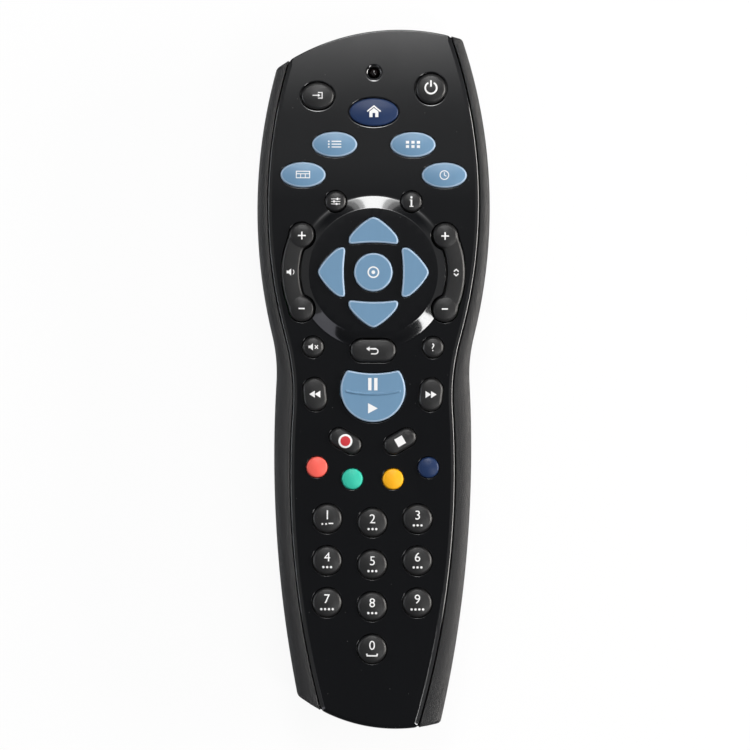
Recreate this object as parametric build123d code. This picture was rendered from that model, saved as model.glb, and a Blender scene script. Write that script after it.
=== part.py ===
from build123d import *
import math
import os

# Television remote control, in millimetres. X runs to the right across the face, Y towards
# the emitter end and Z up from the flat back to the face. The origin is on the back, half way
# along the remote.

# Plan of the housing and of the face in it. Each side is a wide arc at the head and one at the
# handle, given as half width, its place along the remote and the arc's radius. A hollow arc
# joins the two at the waist.
housing_head = (34.9, 51.0, 160.0)
housing_handle = (29.6, -22.0, 370.0)
housing_waist = 47.0
face_head = (31.8, 52.5, 151.0)
face_handle = (24.8, -28.0, 275.0)
face_waist = 65.0

# The two ends are arcs about points beside the middle line, so the right side is the longer.
nose_centre_x = 7.7
nose_radius = 63.5
nose_tip_y = 105.0
tail_centre_x = 7.0
tail_radius = 48.0
tail_tip_y = -105.0
end_round = 5.0

# Small rounds are drawn with short flats, each turning by this many degrees and no longer than
# the given length, so that the whole part keeps few facets. Rounds inside the housing have fewer.
flat_turn = 30.0
hidden_flat_turn = 45.0
longest_flat = 4.0

# Two unit directions closer than this count as one, an edge that turns by fewer degrees counts
# as straight, and one has to reach this far along the remote to count as one of its sides.
same_direction = 0.1
straight_turn = 0.01
side_edge_reach = 1.0

# Face surface: flat, then bending down towards the emitter end.
face_z = 25.0
bend_start = 54.0
bend_radius = 470.0
face_wall = 2.0
face_bevel = 0.8
skirt_depth = 6.0
skirt_wall = 1.5
seam_gap = 0.3

# Housing section.
belly_round = 8.0
belly_turns = (0.0, 22.5, 45.0, 67.5, 90.0)
rail_round = 2.2
floor_wall = 3.2
cavity_lean = 5.0
cavity_wall = 1.8
end_wall = 2.2

# Navigation island.
island_y = 32.0
island_top_radius = 19.3
island_foot_radius = 23.1
island_rise = 1.3
flank_share = 0.5

# Circuit board and the rubber web on it.
board_z = 17.2
board_wall = 1.2
board_inset = 2.4
board_end_inset = 3.2
board_tail_y = -93.0
web_wall = 0.8
web_inset = 3.2
web_end_inset = 4.2
web_window = 3.6

# Keys.
key_gap = 0.3
key_rise = 0.9
key_edge = 0.45
bevelled_keys = ("key_up", "key_down", "key_left", "key_right", "key_select")
key_travel = 1.0
flange_gap = 0.2
flange_wall = 0.6
flange_rim = 0.6
post_side = 2.4
contact_gap = 0.1

number_radius = 4.4
number_column = 13.55
number_row_pitch = 12.6
number_first_y = -41.9
number_middle_drop = 1.15
number_zero_y = -81.0
power_radius = 4.6
small_radius = 3.2
colour_radius = 3.1
select_radius = 5.75
oval_half = (6.75, 3.8)
home_half = (7.3, 4.15)
source_half = (4.95, 4.1)
back_half = (6.8, 3.55)
skip_half = (3.45, 5.0)
skip_lean = 6.0
record_half = (5.1, 2.85)
record_lean = 30.0
power_place = (17.1, 87.2)
source_place = (-16.9, 84.9)
home_y = 80.1
high_oval = (11.75, 70.35)
low_oval = (21.2, 61.2)
high_small = (11.35, 53.2)
low_small = (18.0, 9.55)
back_y = 8.6
skip_place = (17.4, -4.65)
record_place = (8.2, -18.65)
outer_colour = (16.7, -26.5)
inner_colour = (6.1, -30.0)
petal_tip = 16.9
petal_root = 8.9
petal_half = 7.5
petal_widest = 10.3
petal_root_radius = 45.0
petal_bow = 0.6
petal_corner = 1.5
petal_nose = 1.8
rocker_inner = 22.1
rocker_outer = 27.5
rocker_pad_radius = 3.9
rocker_pad_ring = 24.1
rocker_pad_angle = 27.0
rocker_pad_rise = 0.5
rocker_neck = 1.2
rocker_gap = 0.4
rocker_tab_half = 2.2
play_radius = 9.7
play_y = -3.2
play_top_ring = 30.3
play_ridge_ring = 36.6
play_ridge_half = 8.2
play_ridge_width = 0.7
play_ridge_rise = 0.4

# Indicator lamp and emitters.
lamp_y = 92.0
lamp_radius = 1.5
lamp_hole_radius = 1.75
lamp_rim_radius = 2.35
lamp_sink = 0.5
window_half = 13.0
window_low_z = 7.0
window_high_z = 14.5
window_gap = 0.1
emitter_radius = 2.5
emitter_length = 6.0
emitter_spread = 6.0
emitter_flange = 0.5
emitter_leg = 0.5
emitter_leg_spread = 1.27

# Cells and their bay.
cell_radius = 7.25
cell_length = 50.5
cell_nub_radius = 2.75
cell_nub = 1.0
cell_gap = 0.6
cell_middle_y = -63.0
cell_lift = 0.3
contact_room = 2.6
contact_wall = 0.4
contact_half = 5.0
bay_wall = 1.5

# Battery door.
door_wall = 2.0
door_half = 16.6
door_high_y = -28.0
door_low_y = -93.5
door_corner = 3.0
door_gap = 0.25
door_ledge = 1.3
door_lip_wall = 1.0
door_lip_height = 1.0
door_lip_half = 6.0
thumb_radius = 5.0
thumb_half = 8.0
thumb_depth = 0.8

# Screws and their bosses.
screw_high = (23.5, 71.5)
screw_low = (19.0, -16.5)
screw_radius = 1.0
screw_head_radius = 2.2
screw_head = 1.6
screw_seat_z = 6.0
screw_length = 10.0
boss_radius = 2.6
boss_hole_gap = 0.05
boss_gap = 0.4
tower_radius = 4.2
tower_top_z = 9.0
tower_gap = 0.2

# Parts on the board.
chip_size = (10.3, 7.5, 1.9)
chip_place = (0.0, 14.0)
resonator_size = (7.0, 3.0, 2.6)
resonator_place = (13.0, 14.0)
capacitor_radius = 2.5
capacitor_length = 7.0
capacitor_place = (-13.0, 14.0)
resistor_size = (2.0, 1.2, 0.5)
resistor_pitch = 4.0
resistor_row_y = 2.0
resistor_count = 5

reach = 120.0
nose_centre_y = nose_tip_y - nose_radius
tail_centre_y = tail_tip_y + tail_radius
board_top = board_z + board_wall
cell_z = door_wall + cell_lift + cell_radius
bay_half = 2.0 * cell_radius + cell_gap / 2.0 + cell_lift
bay_high_y = cell_middle_y + cell_length / 2.0 + contact_room
bay_low_y = cell_middle_y - cell_length / 2.0 - contact_room


# Face surface

def face_drop(y):
    """How far the face lies below its flat stretch at y."""
    over = max(0.0, y - bend_start)
    return bend_radius - math.sqrt(bend_radius**2 - over**2)


def face_slope(y):
    """Lean of the face towards the emitter end at y, in degrees."""
    over = max(0.0, y - bend_start)
    return math.degrees(math.asin(over / bend_radius))


def face_frame(x, y):
    """Frame on the face at x and y, with Z along the face normal."""
    return Location((x, y, face_z - face_drop(y)), (-face_slope(y), 0, 0))


def below_face(depth):
    """Everything under the face surface lowered by depth."""
    radius = bend_radius - depth
    turn = math.asin((reach - bend_start) / radius)
    points = []
    for share in (0.5, 1.0):
        points.append(
            (
                bend_start + radius * math.sin(turn * share),
                face_z - bend_radius + radius * math.cos(turn * share),
            )
        )
    start = (bend_start, face_z - depth)
    outline = [
        Line((-reach, -reach), (-reach, face_z - depth)),
        Line((-reach, face_z - depth), start),
        ThreePointArc(start, points[0], points[1]),
        Line(points[1], (reach, -reach)),
        Line((reach, -reach), (-reach, -reach)),
    ]
    return extrude(Plane.YZ * make_face(Curve(outline)), reach, both=True)


# Flats

def flats(outline, turn=flat_turn):
    """The same outline with short flats in place of its arcs."""
    points = []
    for edge in outline.face().outer_wire().order_edges():
        half_turn = (edge % 0.0).get_angle(edge % 0.5)
        steps = max(1, round(2.0 * half_turn / turn))
        if half_turn > straight_turn:
            steps = max(steps, round(edge.length / longest_flat))
        for step in range(steps):
            points.append(edge @ (step / steps))
    return make_face(Polyline(*points, close=True))


def flat_post(radius, low, high, x=0.0, y=0.0, turn=flat_turn):
    """Upright post between two heights, with flats round it."""
    return Pos(x, y, low) * extrude(flats(Circle(radius), turn), high - low)


def inner_post(radius, low, high, x=0.0, y=0.0):
    """Post that the housing hides, with fewer flats."""
    return flat_post(radius, low, high, x, y, hidden_flat_turn)


def lying_post(radius, length, turn):
    """Post along the remote about the origin, with flats round it."""
    return Rot(90, 0, 0) * flat_post(radius, -length / 2.0, length / 2.0, turn=turn)


# Housing outline

def lens(arc, inset):
    """Space between the two side arcs of one stretch of the plan, drawn in by inset."""
    half, y, radius = arc
    right = Pos(half - radius, y) * Circle(radius - inset)
    left = Pos(radius - half, y) * Circle(radius - inset)
    return right & left


def plan_outline(head, handle, waist, inset):
    """Outline of the plan before its ends are cut, drawn in by inset."""
    shape = lens(head, inset) + lens(handle, inset)
    shape = fillet([v for v in shape.vertices() if abs(v.Y) < waist], waist + inset)
    return shape & Rectangle(2 * reach, 2 * (nose_tip_y + end_round))


def face_prism(inset, low, high):
    """Upright prism inside the face's plan curve."""
    shape = plan_outline(face_head, face_handle, face_waist, inset)
    return Pos(0, 0, low) * extrude(shape, high - low)


def side_edges(edges):
    """The edges that run along the remote, without those straight across an end."""
    return [edge for edge in edges if edge.bounding_box().size.Y > side_edge_reach]


def end_block(centre, radius, side):
    """Upright disc about an end arc, and the slab of space that it trims."""
    disc = Pos(centre[0], centre[1], 0) * Cylinder(radius, 2 * reach)
    slab = Pos(centre[0], centre[1] + side * reach, 0) * Box(4 * reach, 2 * reach, 2 * reach)
    return slab - disc


def trim_ends(solid, inset=0.0):
    """Cuts a solid to the two end arcs, drawn in by inset."""
    nose = end_block((nose_centre_x, nose_centre_y), nose_radius - inset, 1)
    tail = end_block((tail_centre_x, tail_centre_y), tail_radius - inset, -1)
    return solid - nose - tail


def rounded_end_block(centre, radius, side):
    """The slab that trims an end, shaped so that the lower edge is left round."""
    corner = [(radius, reach), (0, reach), (0, 0)]
    for turn in belly_turns:
        corner.append(
            (
                radius - end_round + end_round * math.sin(math.radians(turn)),
                end_round - end_round * math.cos(math.radians(turn)),
            )
        )
    profile = make_face(Polyline(*corner, close=True))
    coin = Pos(centre[0], centre[1], 0) * revolve(Plane.XZ * profile, Axis.Z)
    slab = Pos(centre[0], centre[1] + side * reach, 0) * Box(4 * reach, 2 * reach, 2 * reach)
    return slab - coin


def round_belly(body, radius):
    """Rounds the two long lower edges with three flats that all touch one arc."""
    low = body.faces().sort_by(Axis.Z)[0]
    body = chamfer(side_edges(low.edges()), radius * (2.0 - math.sqrt(2.0)))
    slant = math.sin(math.radians(45.0))
    strips = [
        face for face in body.faces() if abs(face.normal_at(face.center()).Z + slant) < same_direction
    ]
    cut = radius * (math.tan(math.radians(22.5)) - math.tan(math.radians(11.25)))
    return chamfer(side_edges(outer_edges(strips)), cut)


def outer_edges(faces):
    """The edges of some faces, without those that two of them share."""
    edges = [edge for face in faces for edge in face.edges()]
    counts = [sum(edge.is_same(other) for other in edges) for edge in edges]
    return [edge for edge, count in zip(edges, counts) if count == 1]


def housing_body():
    """Outer form of the whole housing, ends trimmed and rounded."""
    outline = plan_outline(housing_head, housing_handle, housing_waist, 0.0)
    body = extrude(outline, face_z) & below_face(0.0)
    body = round_belly(body, belly_round)
    body = chamfer(side_edges(rim_edges(body)), rail_round)
    body = body - rounded_end_block((nose_centre_x, nose_centre_y), nose_radius, 1)
    return body - rounded_end_block((tail_centre_x, tail_centre_y), tail_radius, -1)


def rim_edges(solid):
    """Edges round the top face and its bent stretch, without the edge that they share."""
    top = [face for face in solid.faces() if face.normal_at(face.center()).Z > 0.9]
    return outer_edges([face for face in top if face.center().Z > face_z - skirt_depth])


def cavity_body():
    """Hollow of the housing, its lower corners leaning in over the round belly."""
    hollow = face_prism(cavity_wall, floor_wall, face_z + end_round)
    low = hollow.faces().sort_by(Axis.Z)[0]
    return trim_ends(chamfer(side_edges(low.edges()), cavity_lean), end_wall)


# Key outlines, drawn about the key's own centre

def round_outline(radius):
    return lambda grow: Circle(radius + grow)


def oval_outline(half):
    return lambda grow: Ellipse(half[0] + grow, half[1] + grow)


def slot_outline(half, lean):
    """Slot with round ends, its long side turned by lean degrees."""
    long_half = max(half)
    short_half = min(half)
    turn = lean if half[0] > half[1] else lean + 90.0
    spread = 2.0 * (long_half - short_half)
    return lambda grow: Rot(0, 0, turn) * SlotCenterToCenter(spread, 2.0 * (short_half + grow))


def petal_outline(turn):
    """Navigation petal, its tip pointing away from the island's middle."""

    def outline(grow):
        root = math.sqrt(petal_root_radius**2 - petal_half**2) - petal_root_radius
        corner = (petal_half, petal_root + root)
        flank = (petal_half, petal_widest)
        tip = (0.0, petal_tip)
        lean = math.atan2(petal_tip - petal_widest, petal_half)
        middle = (
            petal_half / 2.0 + petal_bow * math.sin(lean),
            (petal_tip + petal_widest) / 2.0 + petal_bow * math.cos(lean),
        )
        edges = [
            ThreePointArc((-corner[0], corner[1]), (0, petal_root), corner),
            Line(corner, flank),
            ThreePointArc(flank, middle, tip),
            ThreePointArc(tip, (-middle[0], middle[1]), (-flank[0], flank[1])),
            Line((-flank[0], flank[1]), (-corner[0], corner[1])),
        ]
        shape = make_face(Curve(edges))
        points = shape.vertices().sort_by(Axis.Y)
        shape = fillet(points[-1], petal_nose)
        points = shape.vertices().sort_by(Axis.Y)
        shape = fillet(points[:2], petal_corner)
        if grow:
            shape = offset(shape, grow)
        return Rot(0, 0, turn) * shape

    return outline


def rocker_outline(side):
    """Curved two-way key about the island's middle, with a round pad at each end."""

    def outline(grow):
        band = Circle(rocker_outer + grow) - Circle(rocker_inner - grow)
        wedge = make_face(
            Polyline(
                (0, 0),
                point_on_ring(reach, -rocker_pad_angle),
                point_on_ring(reach, rocker_pad_angle),
                close=True,
            )
        )
        shape = band & wedge
        for turn in (-rocker_pad_angle, rocker_pad_angle):
            x, y = point_on_ring(rocker_pad_ring, turn)
            shape += Pos(x, y) * Circle(rocker_pad_radius + grow)
        shape = fillet(shape.vertices(), rocker_neck - grow)
        if side < 0:
            shape = Rot(0, 0, 180) * shape
        return shape

    return outline


def point_on_ring(radius, turn):
    return (radius * math.cos(math.radians(turn)), radius * math.sin(math.radians(turn)))


def play_outline(grow):
    """Round key whose upper side follows the island."""
    disc = Circle(play_radius + grow)
    bite = Pos(0, island_y - play_y) * Circle(play_top_ring - grow)
    return disc - bite


# Keys

def key_solid(outline, frame, tab, rise, edge):
    """One key in its own frame: cap through the face, flange under it and a post."""
    flange_top = -(face_wall + flange_gap)
    flange_low = flange_top - flange_wall
    cap = Pos(0, 0, flange_top) * extrude(flats(outline(0.0)), rise - flange_top)
    if edge:
        cap = chamfer(cap.faces().sort_by(Axis.Z)[-1].edges(), edge)
    flange = Pos(0, 0, (flange_top + flange_low) / 2.0) * tab
    lean = math.cos(math.radians(frame.orientation.X))
    foot = (board_top + key_travel + contact_gap - frame.position.Z) / lean
    post = Pos(tab.center().X, tab.center().Y, (flange_low + foot) / 2.0) * Box(
        post_side, post_side, flange_low - foot
    )
    return frame * (cap + flange + post)


def tab_plate(half_x, half_y, x=0.0, y=0.0):
    """Square flange plate that keeps a key from falling out of the face."""
    return Pos(x, y) * Box(2 * (half_x + flange_rim), 2 * (half_y + flange_rim), flange_wall)


def plain_key(outline, half, x, y):
    """A key that stands by itself on the face."""
    return (outline, face_frame(x, y), tab_plate(half[0], half[1]), key_rise, key_gap)


def round_key(radius, x, y):
    return plain_key(round_outline(radius), (radius, radius), x, y)


def oval_key(half, x, y):
    """Oval key; its square flange shows past the oval only at the corners."""
    tab = (half[0] - flange_rim, half[1] - flange_rim)
    return plain_key(oval_outline(half), tab, x, y)


def slot_key(half, lean, x, y):
    tab = Rot(0, 0, lean) * tab_plate(half[0], half[1])
    return (slot_outline(half, lean), face_frame(x, y), tab, key_rise, key_gap)


def petal_key(turn):
    """Navigation key, drawn about the island's middle."""
    middle = (petal_root + petal_tip) / 2.0
    half_deep = (petal_tip - petal_root) / 2.0 - flange_rim
    half_wide = petal_half - flange_rim
    upright = turn % 180 == 0
    x, y = point_on_ring(middle, turn + 90.0)
    tab = tab_plate(half_wide, half_deep, x, y) if upright else tab_plate(half_deep, half_wide, x, y)
    rise = island_rise + key_rise
    return (petal_outline(turn), face_frame(0, island_y), tab, rise, key_gap)


def rocker_key(side):
    """Two-way key with its flange only near the middle, where it hardly moves."""
    middle = side * (rocker_inner + rocker_outer) / 2.0
    half = (rocker_outer - rocker_inner) / 2.0
    tab = tab_plate(half, rocker_tab_half, middle, 0)
    return (rocker_outline(side), face_frame(0, island_y), tab, key_rise, rocker_gap)


def play_key():
    tab = tab_plate(play_radius, rocker_tab_half)
    return (play_outline, face_frame(0, play_y), tab, key_rise, rocker_gap)


def number_place(number):
    """Centre of a number key; the middle column sits lower than the outer two."""
    if number == 0:
        return (0.0, number_zero_y)
    row, column = divmod(number - 1, 3)
    x = (column - 1) * number_column
    drop = number_middle_drop if column == 1 else 0.0
    return (x, number_first_y - row * number_row_pitch - drop)


def mirrored(place):
    """The same place on the left of the middle line."""
    return (-place[0], place[1])


def key_table():
    """Outline, frame, flange, rise and gap of every key."""
    keys = {
        "key_power": round_key(power_radius, *power_place),
        "key_source": oval_key(source_half, *source_place),
        "key_home": oval_key(home_half, 0.0, home_y),
        "key_library": oval_key(oval_half, *mirrored(high_oval)),
        "key_apps": oval_key(oval_half, *high_oval),
        "key_guide": oval_key(oval_half, *mirrored(low_oval)),
        "key_planner": oval_key(oval_half, *low_oval),
        "key_setup": round_key(small_radius, *mirrored(high_small)),
        "key_info": round_key(small_radius, *high_small),
        "key_mute": round_key(small_radius, *mirrored(low_small)),
        "key_help": round_key(small_radius, *low_small),
        "key_back": slot_key(back_half, 0.0, 0.0, back_y),
        "key_rewind": slot_key(skip_half, skip_lean, *mirrored(skip_place)),
        "key_forward": slot_key(skip_half, -skip_lean, *skip_place),
        "key_record": slot_key(record_half, -record_lean, *mirrored(record_place)),
        "key_stop": slot_key(record_half, record_lean, *record_place),
        "key_red": round_key(colour_radius, *mirrored(outer_colour)),
        "key_blue": round_key(colour_radius, *outer_colour),
        "key_green": round_key(colour_radius, *mirrored(inner_colour)),
        "key_yellow": round_key(colour_radius, *inner_colour),
        "key_up": petal_key(0.0),
        "key_left": petal_key(90.0),
        "key_down": petal_key(180.0),
        "key_right": petal_key(270.0),
        "rocker_volume": rocker_key(-1),
        "rocker_channel": rocker_key(1),
        "key_play_pause": play_key(),
    }
    outline, frame, tab, rise, gap = round_key(select_radius, 0.0, island_y)
    keys["key_select"] = (outline, frame, tab, rise + island_rise, gap)
    for number in range(10):
        x, y = number_place(number)
        keys[f"key_{number}"] = round_key(number_radius, x, y)
    return keys


def rocker_solid(side, key):
    """Two-way key with its end pads standing a little higher than its middle."""
    outline, frame, tab, rise, gap = key
    solid = key_solid(outline, frame, tab, rise, key_edge)
    for turn in (-rocker_pad_angle, rocker_pad_angle):
        x, y = point_on_ring(rocker_pad_ring, turn)
        pad = flat_post(rocker_pad_radius - key_edge, 0.0, rise + rocker_pad_rise, side * x, y)
        solid += frame * pad
    return solid


def play_solid(key):
    """Play and pause key with a curved ridge between its two halves."""
    outline, frame, tab, rise, gap = key
    solid = key_solid(outline, frame, tab, rise, key_edge)
    half_width = play_ridge_width / 2.0
    ring = Circle(play_ridge_ring + half_width) - Circle(play_ridge_ring - half_width)
    strip = ring & (Pos(0, -play_ridge_ring) * Rectangle(2 * play_ridge_half, play_ridge_ring))
    ridge = Pos(0, island_y - play_y, 0) * extrude(flats(strip), rise + play_ridge_rise)
    return solid + frame * ridge


# Front shell

def island_solid():
    """Raised round of the face, with a hollow flank that runs out flat."""
    sink = face_wall / 2.0
    flank = island_foot_radius - island_top_radius
    profile = make_face(
        Polyline(
            (0, -sink),
            (island_foot_radius, -sink),
            (island_foot_radius, 0),
            (island_foot_radius - flank * flank_share, island_rise * flank_share**2),
            (island_top_radius, island_rise),
            (0, island_rise),
            close=True,
        )
    )
    return Pos(0, island_y, face_z) * revolve(Plane.XZ * profile, Axis.Z)


def screw_places():
    """Centres of the four shell screws."""
    for x, y in (screw_high, screw_low):
        yield (x, y)
        yield (-x, y)


def front_shell(keys):
    side_inset = seam_gap / 2.0
    low = face_z - reach
    outer = trim_ends(face_prism(side_inset, low, reach)) & below_face(0.0)
    outer = chamfer(rim_edges(outer), face_bevel)
    inner = trim_ends(face_prism(side_inset + skirt_wall, low, reach), skirt_wall)
    shell = outer - below_face(skirt_depth) - (inner & below_face(face_wall))
    shell += island_solid()
    depth = 2.0 * face_wall
    holes = []
    for outline, frame, tab, rise, gap in keys.values():
        hole = Pos(0, 0, -depth) * extrude(flats(outline(gap)), 2.0 * depth)
        holes.append(frame * hole)
    shell -= holes
    for x, y in screw_places():
        high = face_z - face_drop(y) - face_wall / 2.0
        low_z = tower_top_z + tower_gap
        shell += inner_post(boss_radius, low_z, high, x, y)
        shell -= inner_post(screw_radius + boss_hole_gap, low_z, board_top, x, y)
    return shell - lamp_hole()


def lamp_hole():
    """Hole over the indicator lamp, wider at the face."""
    depth = 2.0 * face_wall
    bore = flat_post(lamp_hole_radius, -depth, depth)
    sink = flat_post(lamp_rim_radius, lamp_hole_radius - lamp_rim_radius, depth)
    return face_frame(0, lamp_y) * (bore + sink)


# Rear shell

def door_outline(grow):
    width = 2.0 * (door_half + grow)
    height = door_high_y - door_low_y + 2.0 * grow
    middle = (door_high_y + door_low_y) / 2.0
    return Pos(0, middle) * RectangleRounded(width, height, door_corner + grow)


def bay_frame():
    """Block of the four walls round the cells, up to the board, and the room inside them."""
    middle = (bay_high_y + bay_low_y) / 2.0
    long_side = bay_high_y - bay_low_y
    tall = board_z - floor_wall / 2.0
    walls = Box(2 * (bay_half + bay_wall), long_side + 2 * bay_wall, tall)
    room = Box(2 * bay_half, long_side, tall)
    place = Pos(0, middle, board_z - tall / 2.0)
    return place * walls, place * room


def rear_shell(body):
    seat = face_prism(-seam_gap / 2.0, 0.0, reach) - below_face(skirt_depth)
    shell = body - seat - cavity_body()
    walls, room = bay_frame()
    shell = shell + walls - room
    for x, y in screw_places():
        shell += inner_post(tower_radius, floor_wall / 2.0, tower_top_z, x, y)
        sink = screw_head_radius + 2.0 * boss_hole_gap
        shell -= flat_post(sink, -screw_seat_z, screw_seat_z, x, y)
        shell -= inner_post(screw_radius + tower_gap, 0.0, reach, x, y)
    recess = extrude(door_outline(door_gap), door_wall + door_gap, both=True)
    opening = extrude(door_outline(-door_ledge), floor_wall, both=True)
    shell -= recess + opening
    return shell - window_block(window_gap)


# Battery door

def battery_door(body):
    """Door flush with the back, with a locating lip at each end and a thumb hollow."""
    door = body & extrude(door_outline(0.0), door_wall)
    lip_inset = door_ledge + door_gap + door_lip_wall / 2.0
    lip_z = door_wall + door_lip_height / 2.0
    for y in (door_high_y - lip_inset, door_low_y + lip_inset):
        door += Pos(0, y, lip_z) * Box(2 * door_lip_half, door_lip_wall, door_lip_height)
    thumb_y = door_high_y - 2.0 * thumb_radius
    roll = (thumb_radius**2 + thumb_depth**2) / (2.0 * thumb_depth)
    place = Pos(0, thumb_y, thumb_depth - roll) * Rot(0, 90, 0)
    return door - place * Cylinder(roll, 2.0 * thumb_half)


# Window and lamps

def window_block(grow):
    """The stretch of space that the emitter window takes from the end wall."""
    width = 2.0 * (window_half + grow)
    tall = window_high_z - window_low_z + 2.0 * grow
    middle = (window_high_z + window_low_z) / 2.0
    return Pos(0, nose_tip_y, middle) * Box(width, nose_radius / 2.0, tall)


def ir_window():
    """Curved window let into the end wall, flush with it."""
    centre = Pos(nose_centre_x, nose_centre_y, 0)
    tube = centre * (
        Cylinder(nose_radius, 2 * reach) - Cylinder(nose_radius - end_wall, 2 * reach)
    )
    return tube & window_block(0.0)


def ir_emitters():
    """Two emitter lamps lying behind the window, on legs from the board."""
    lamps = []
    z = (window_low_z + window_high_z) / 2.0
    for side in (-1, 1):
        x = side * emitter_spread
        over = x - nose_centre_x
        wall = nose_centre_y + math.sqrt((nose_radius - end_wall) ** 2 - over**2)
        tip = wall - emitter_flange
        back = tip - emitter_length
        barrel = inner_post(emitter_radius, 0.0, emitter_length)
        barrel = chamfer(barrel.faces().sort_by(Axis.Z)[-1].edges(), emitter_radius / 2.0)
        barrel += inner_post(emitter_radius + emitter_flange, 0.0, emitter_flange)
        lamp = Pos(x, back, z) * Rot(-90, 0, 0) * barrel
        for leg in (-emitter_leg_spread, emitter_leg_spread):
            tall = board_z - z
            wire = Box(emitter_leg, emitter_leg, tall)
            lamp += Pos(x + leg, back - emitter_leg / 2.0, z + tall / 2.0) * wire
        lamps.append(lamp)
    return lamps


def indicator_led():
    """Lamp on the board, its dome just below the face."""
    lamp = flat_post(lamp_radius, board_top, face_z - face_drop(lamp_y) - lamp_sink, 0.0, lamp_y)
    return chamfer(lamp.faces().sort_by(Axis.Z)[-1].edges(), lamp_radius / 2.0)


# Board and what it carries

def tail_block(y):
    """Everything on the tail side of y."""
    return Pos(0, y - reach, 0) * Box(2 * reach, 2 * reach, 2 * reach)


def circuit_board():
    board = face_prism(board_inset, board_z, board_top)
    board = trim_ends(board, board_end_inset) - tail_block(board_tail_y)
    for x, y in screw_places():
        board -= inner_post(boss_radius + boss_gap, 0.0, reach, x, y)
    return board


def keypad_web(keys):
    """Rubber web on the board, with a window under each key's post."""
    web = face_prism(web_inset, board_top, board_top + web_wall)
    web = trim_ends(web, web_end_inset) - tail_block(board_tail_y + web_inset - board_inset)
    for outline, frame, tab, rise, gap in keys.values():
        place = frame * Pos(tab.center().X, tab.center().Y, 0)
        window = Box(web_window, web_window, reach)
        web -= Pos(place.position.X, place.position.Y, board_top) * window
    for x, y in screw_places():
        web -= inner_post(boss_radius + boss_gap, 0.0, reach, x, y)
    return web - flat_post(lamp_radius + boss_gap, 0.0, reach, 0.0, lamp_y)


def main_chip():
    return Pos(chip_place[0], chip_place[1], board_z - chip_size[2] / 2.0) * Box(*chip_size)


def resonator():
    size = resonator_size
    place = resonator_place
    return Pos(place[0], place[1], board_z - size[2] / 2.0) * Box(*size)


def capacitor():
    z = board_z - capacitor_radius
    place = Pos(capacitor_place[0], capacitor_place[1], z)
    return place * lying_post(capacitor_radius, capacitor_length, hidden_flat_turn)


def chip_resistors():
    pieces = []
    for index in range(resistor_count):
        x = (index - (resistor_count - 1) / 2.0) * resistor_pitch
        place = Pos(x, resistor_row_y, board_z - resistor_size[2] / 2.0)
        pieces.append(place * Box(*resistor_size))
    return pieces


# Cells and contacts

def cell_places():
    """Middle line of each cell and the side that its nub faces."""
    x = cell_radius + cell_gap / 2.0
    return ((-x, 1), (x, -1))


def battery_cells():
    cells = []
    for x, side in cell_places():
        barrel = cell_length - cell_nub
        cell = Pos(0, -side * cell_nub / 2.0, 0) * lying_post(cell_radius, barrel, flat_turn)
        nub_y = side * (cell_length - cell_nub) / 2.0
        cell += Pos(0, nub_y, 0) * lying_post(cell_nub_radius, cell_nub, hidden_flat_turn)
        cells.append(Pos(x, cell_middle_y, cell_z) * cell)
    return cells


def contact_springs():
    """Bowed leaf against the flat end of each cell."""
    leaves = []
    for x, side in cell_places():
        wall_y = cell_middle_y - side * (cell_length / 2.0 + contact_room)
        bow = contact_room
        outer = ThreePointArc((0, -contact_half), (bow, 0), (0, contact_half))
        inner = ThreePointArc(
            (0, contact_half - contact_wall), (bow - contact_wall, 0), (0, contact_wall - contact_half)
        )
        ends = [
            Line(outer @ 1, inner @ 0),
            Line(inner @ 1, outer @ 0),
        ]
        strip = extrude(make_face(Curve([outer, inner] + ends)), contact_half / 2.0, both=True)
        back = Pos(contact_wall / 2.0, 0, 0) * Box(contact_wall, 2 * contact_half, contact_half)
        leaf = Rot(0, 0, side * 90) * (strip + back)
        leaves.append(Pos(x, wall_y, cell_z) * leaf)
    return leaves


def contact_plates():
    """Plate with a raised round against the nub of each cell."""
    plates = []
    for x, side in cell_places():
        wall_y = cell_middle_y + side * (cell_length / 2.0 + contact_room)
        plate = Pos(0, contact_wall / 2.0, 0) * Box(2 * contact_half, contact_wall, 2 * contact_half)
        stud = Pos(0, contact_room / 2.0, 0) * lying_post(
            cell_nub_radius, contact_room, hidden_flat_turn
        )
        plates.append(Pos(x, wall_y, cell_z) * Rot(0, 0, 90 + side * 90) * (plate + stud))
    return plates


def shell_screws():
    screws = []
    for x, y in screw_places():
        head = flat_post(screw_head_radius, screw_seat_z - screw_head, screw_seat_z, x, y)
        shank = inner_post(screw_radius, screw_seat_z, screw_seat_z + screw_length, x, y)
        screws.append(head + shank)
    return screws


def write(name, shape):
    """One file for one piece, or for a list of like pieces."""
    if isinstance(shape, list):
        shape = Compound(children=[solid for piece in shape for solid in piece.solids()])
    export_step(shape, f"parts/{name}.step")


os.makedirs("parts", exist_ok=True)
table = key_table()
housing = housing_body()
write("front_shell", front_shell(table))
write("rear_shell", rear_shell(housing))
write("battery_door", battery_door(housing))
write("ir_window", ir_window())
write("ir_emitters", ir_emitters())
write("indicator_led", indicator_led())
write("circuit_board", circuit_board())
write("keypad_web", keypad_web(table))
write("main_chip", main_chip())
write("resonator", resonator())
write("capacitor", capacitor())
write("chip_resistors", chip_resistors())
write("battery_cells", battery_cells())
write("contact_springs", contact_springs())
write("contact_plates", contact_plates())
write("shell_screws", shell_screws())
write("rocker_volume", rocker_solid(-1, table.pop("rocker_volume")))
write("rocker_channel", rocker_solid(1, table.pop("rocker_channel")))
write("key_play_pause", play_solid(table.pop("key_play_pause")))
for name, (outline, frame, tab, rise, gap) in table.items():
    edge = key_edge if name in bevelled_keys else 0.0
    write(name, key_solid(outline, frame, tab, rise, edge))
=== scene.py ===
"""Looks of a television remote control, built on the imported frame."""

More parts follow.
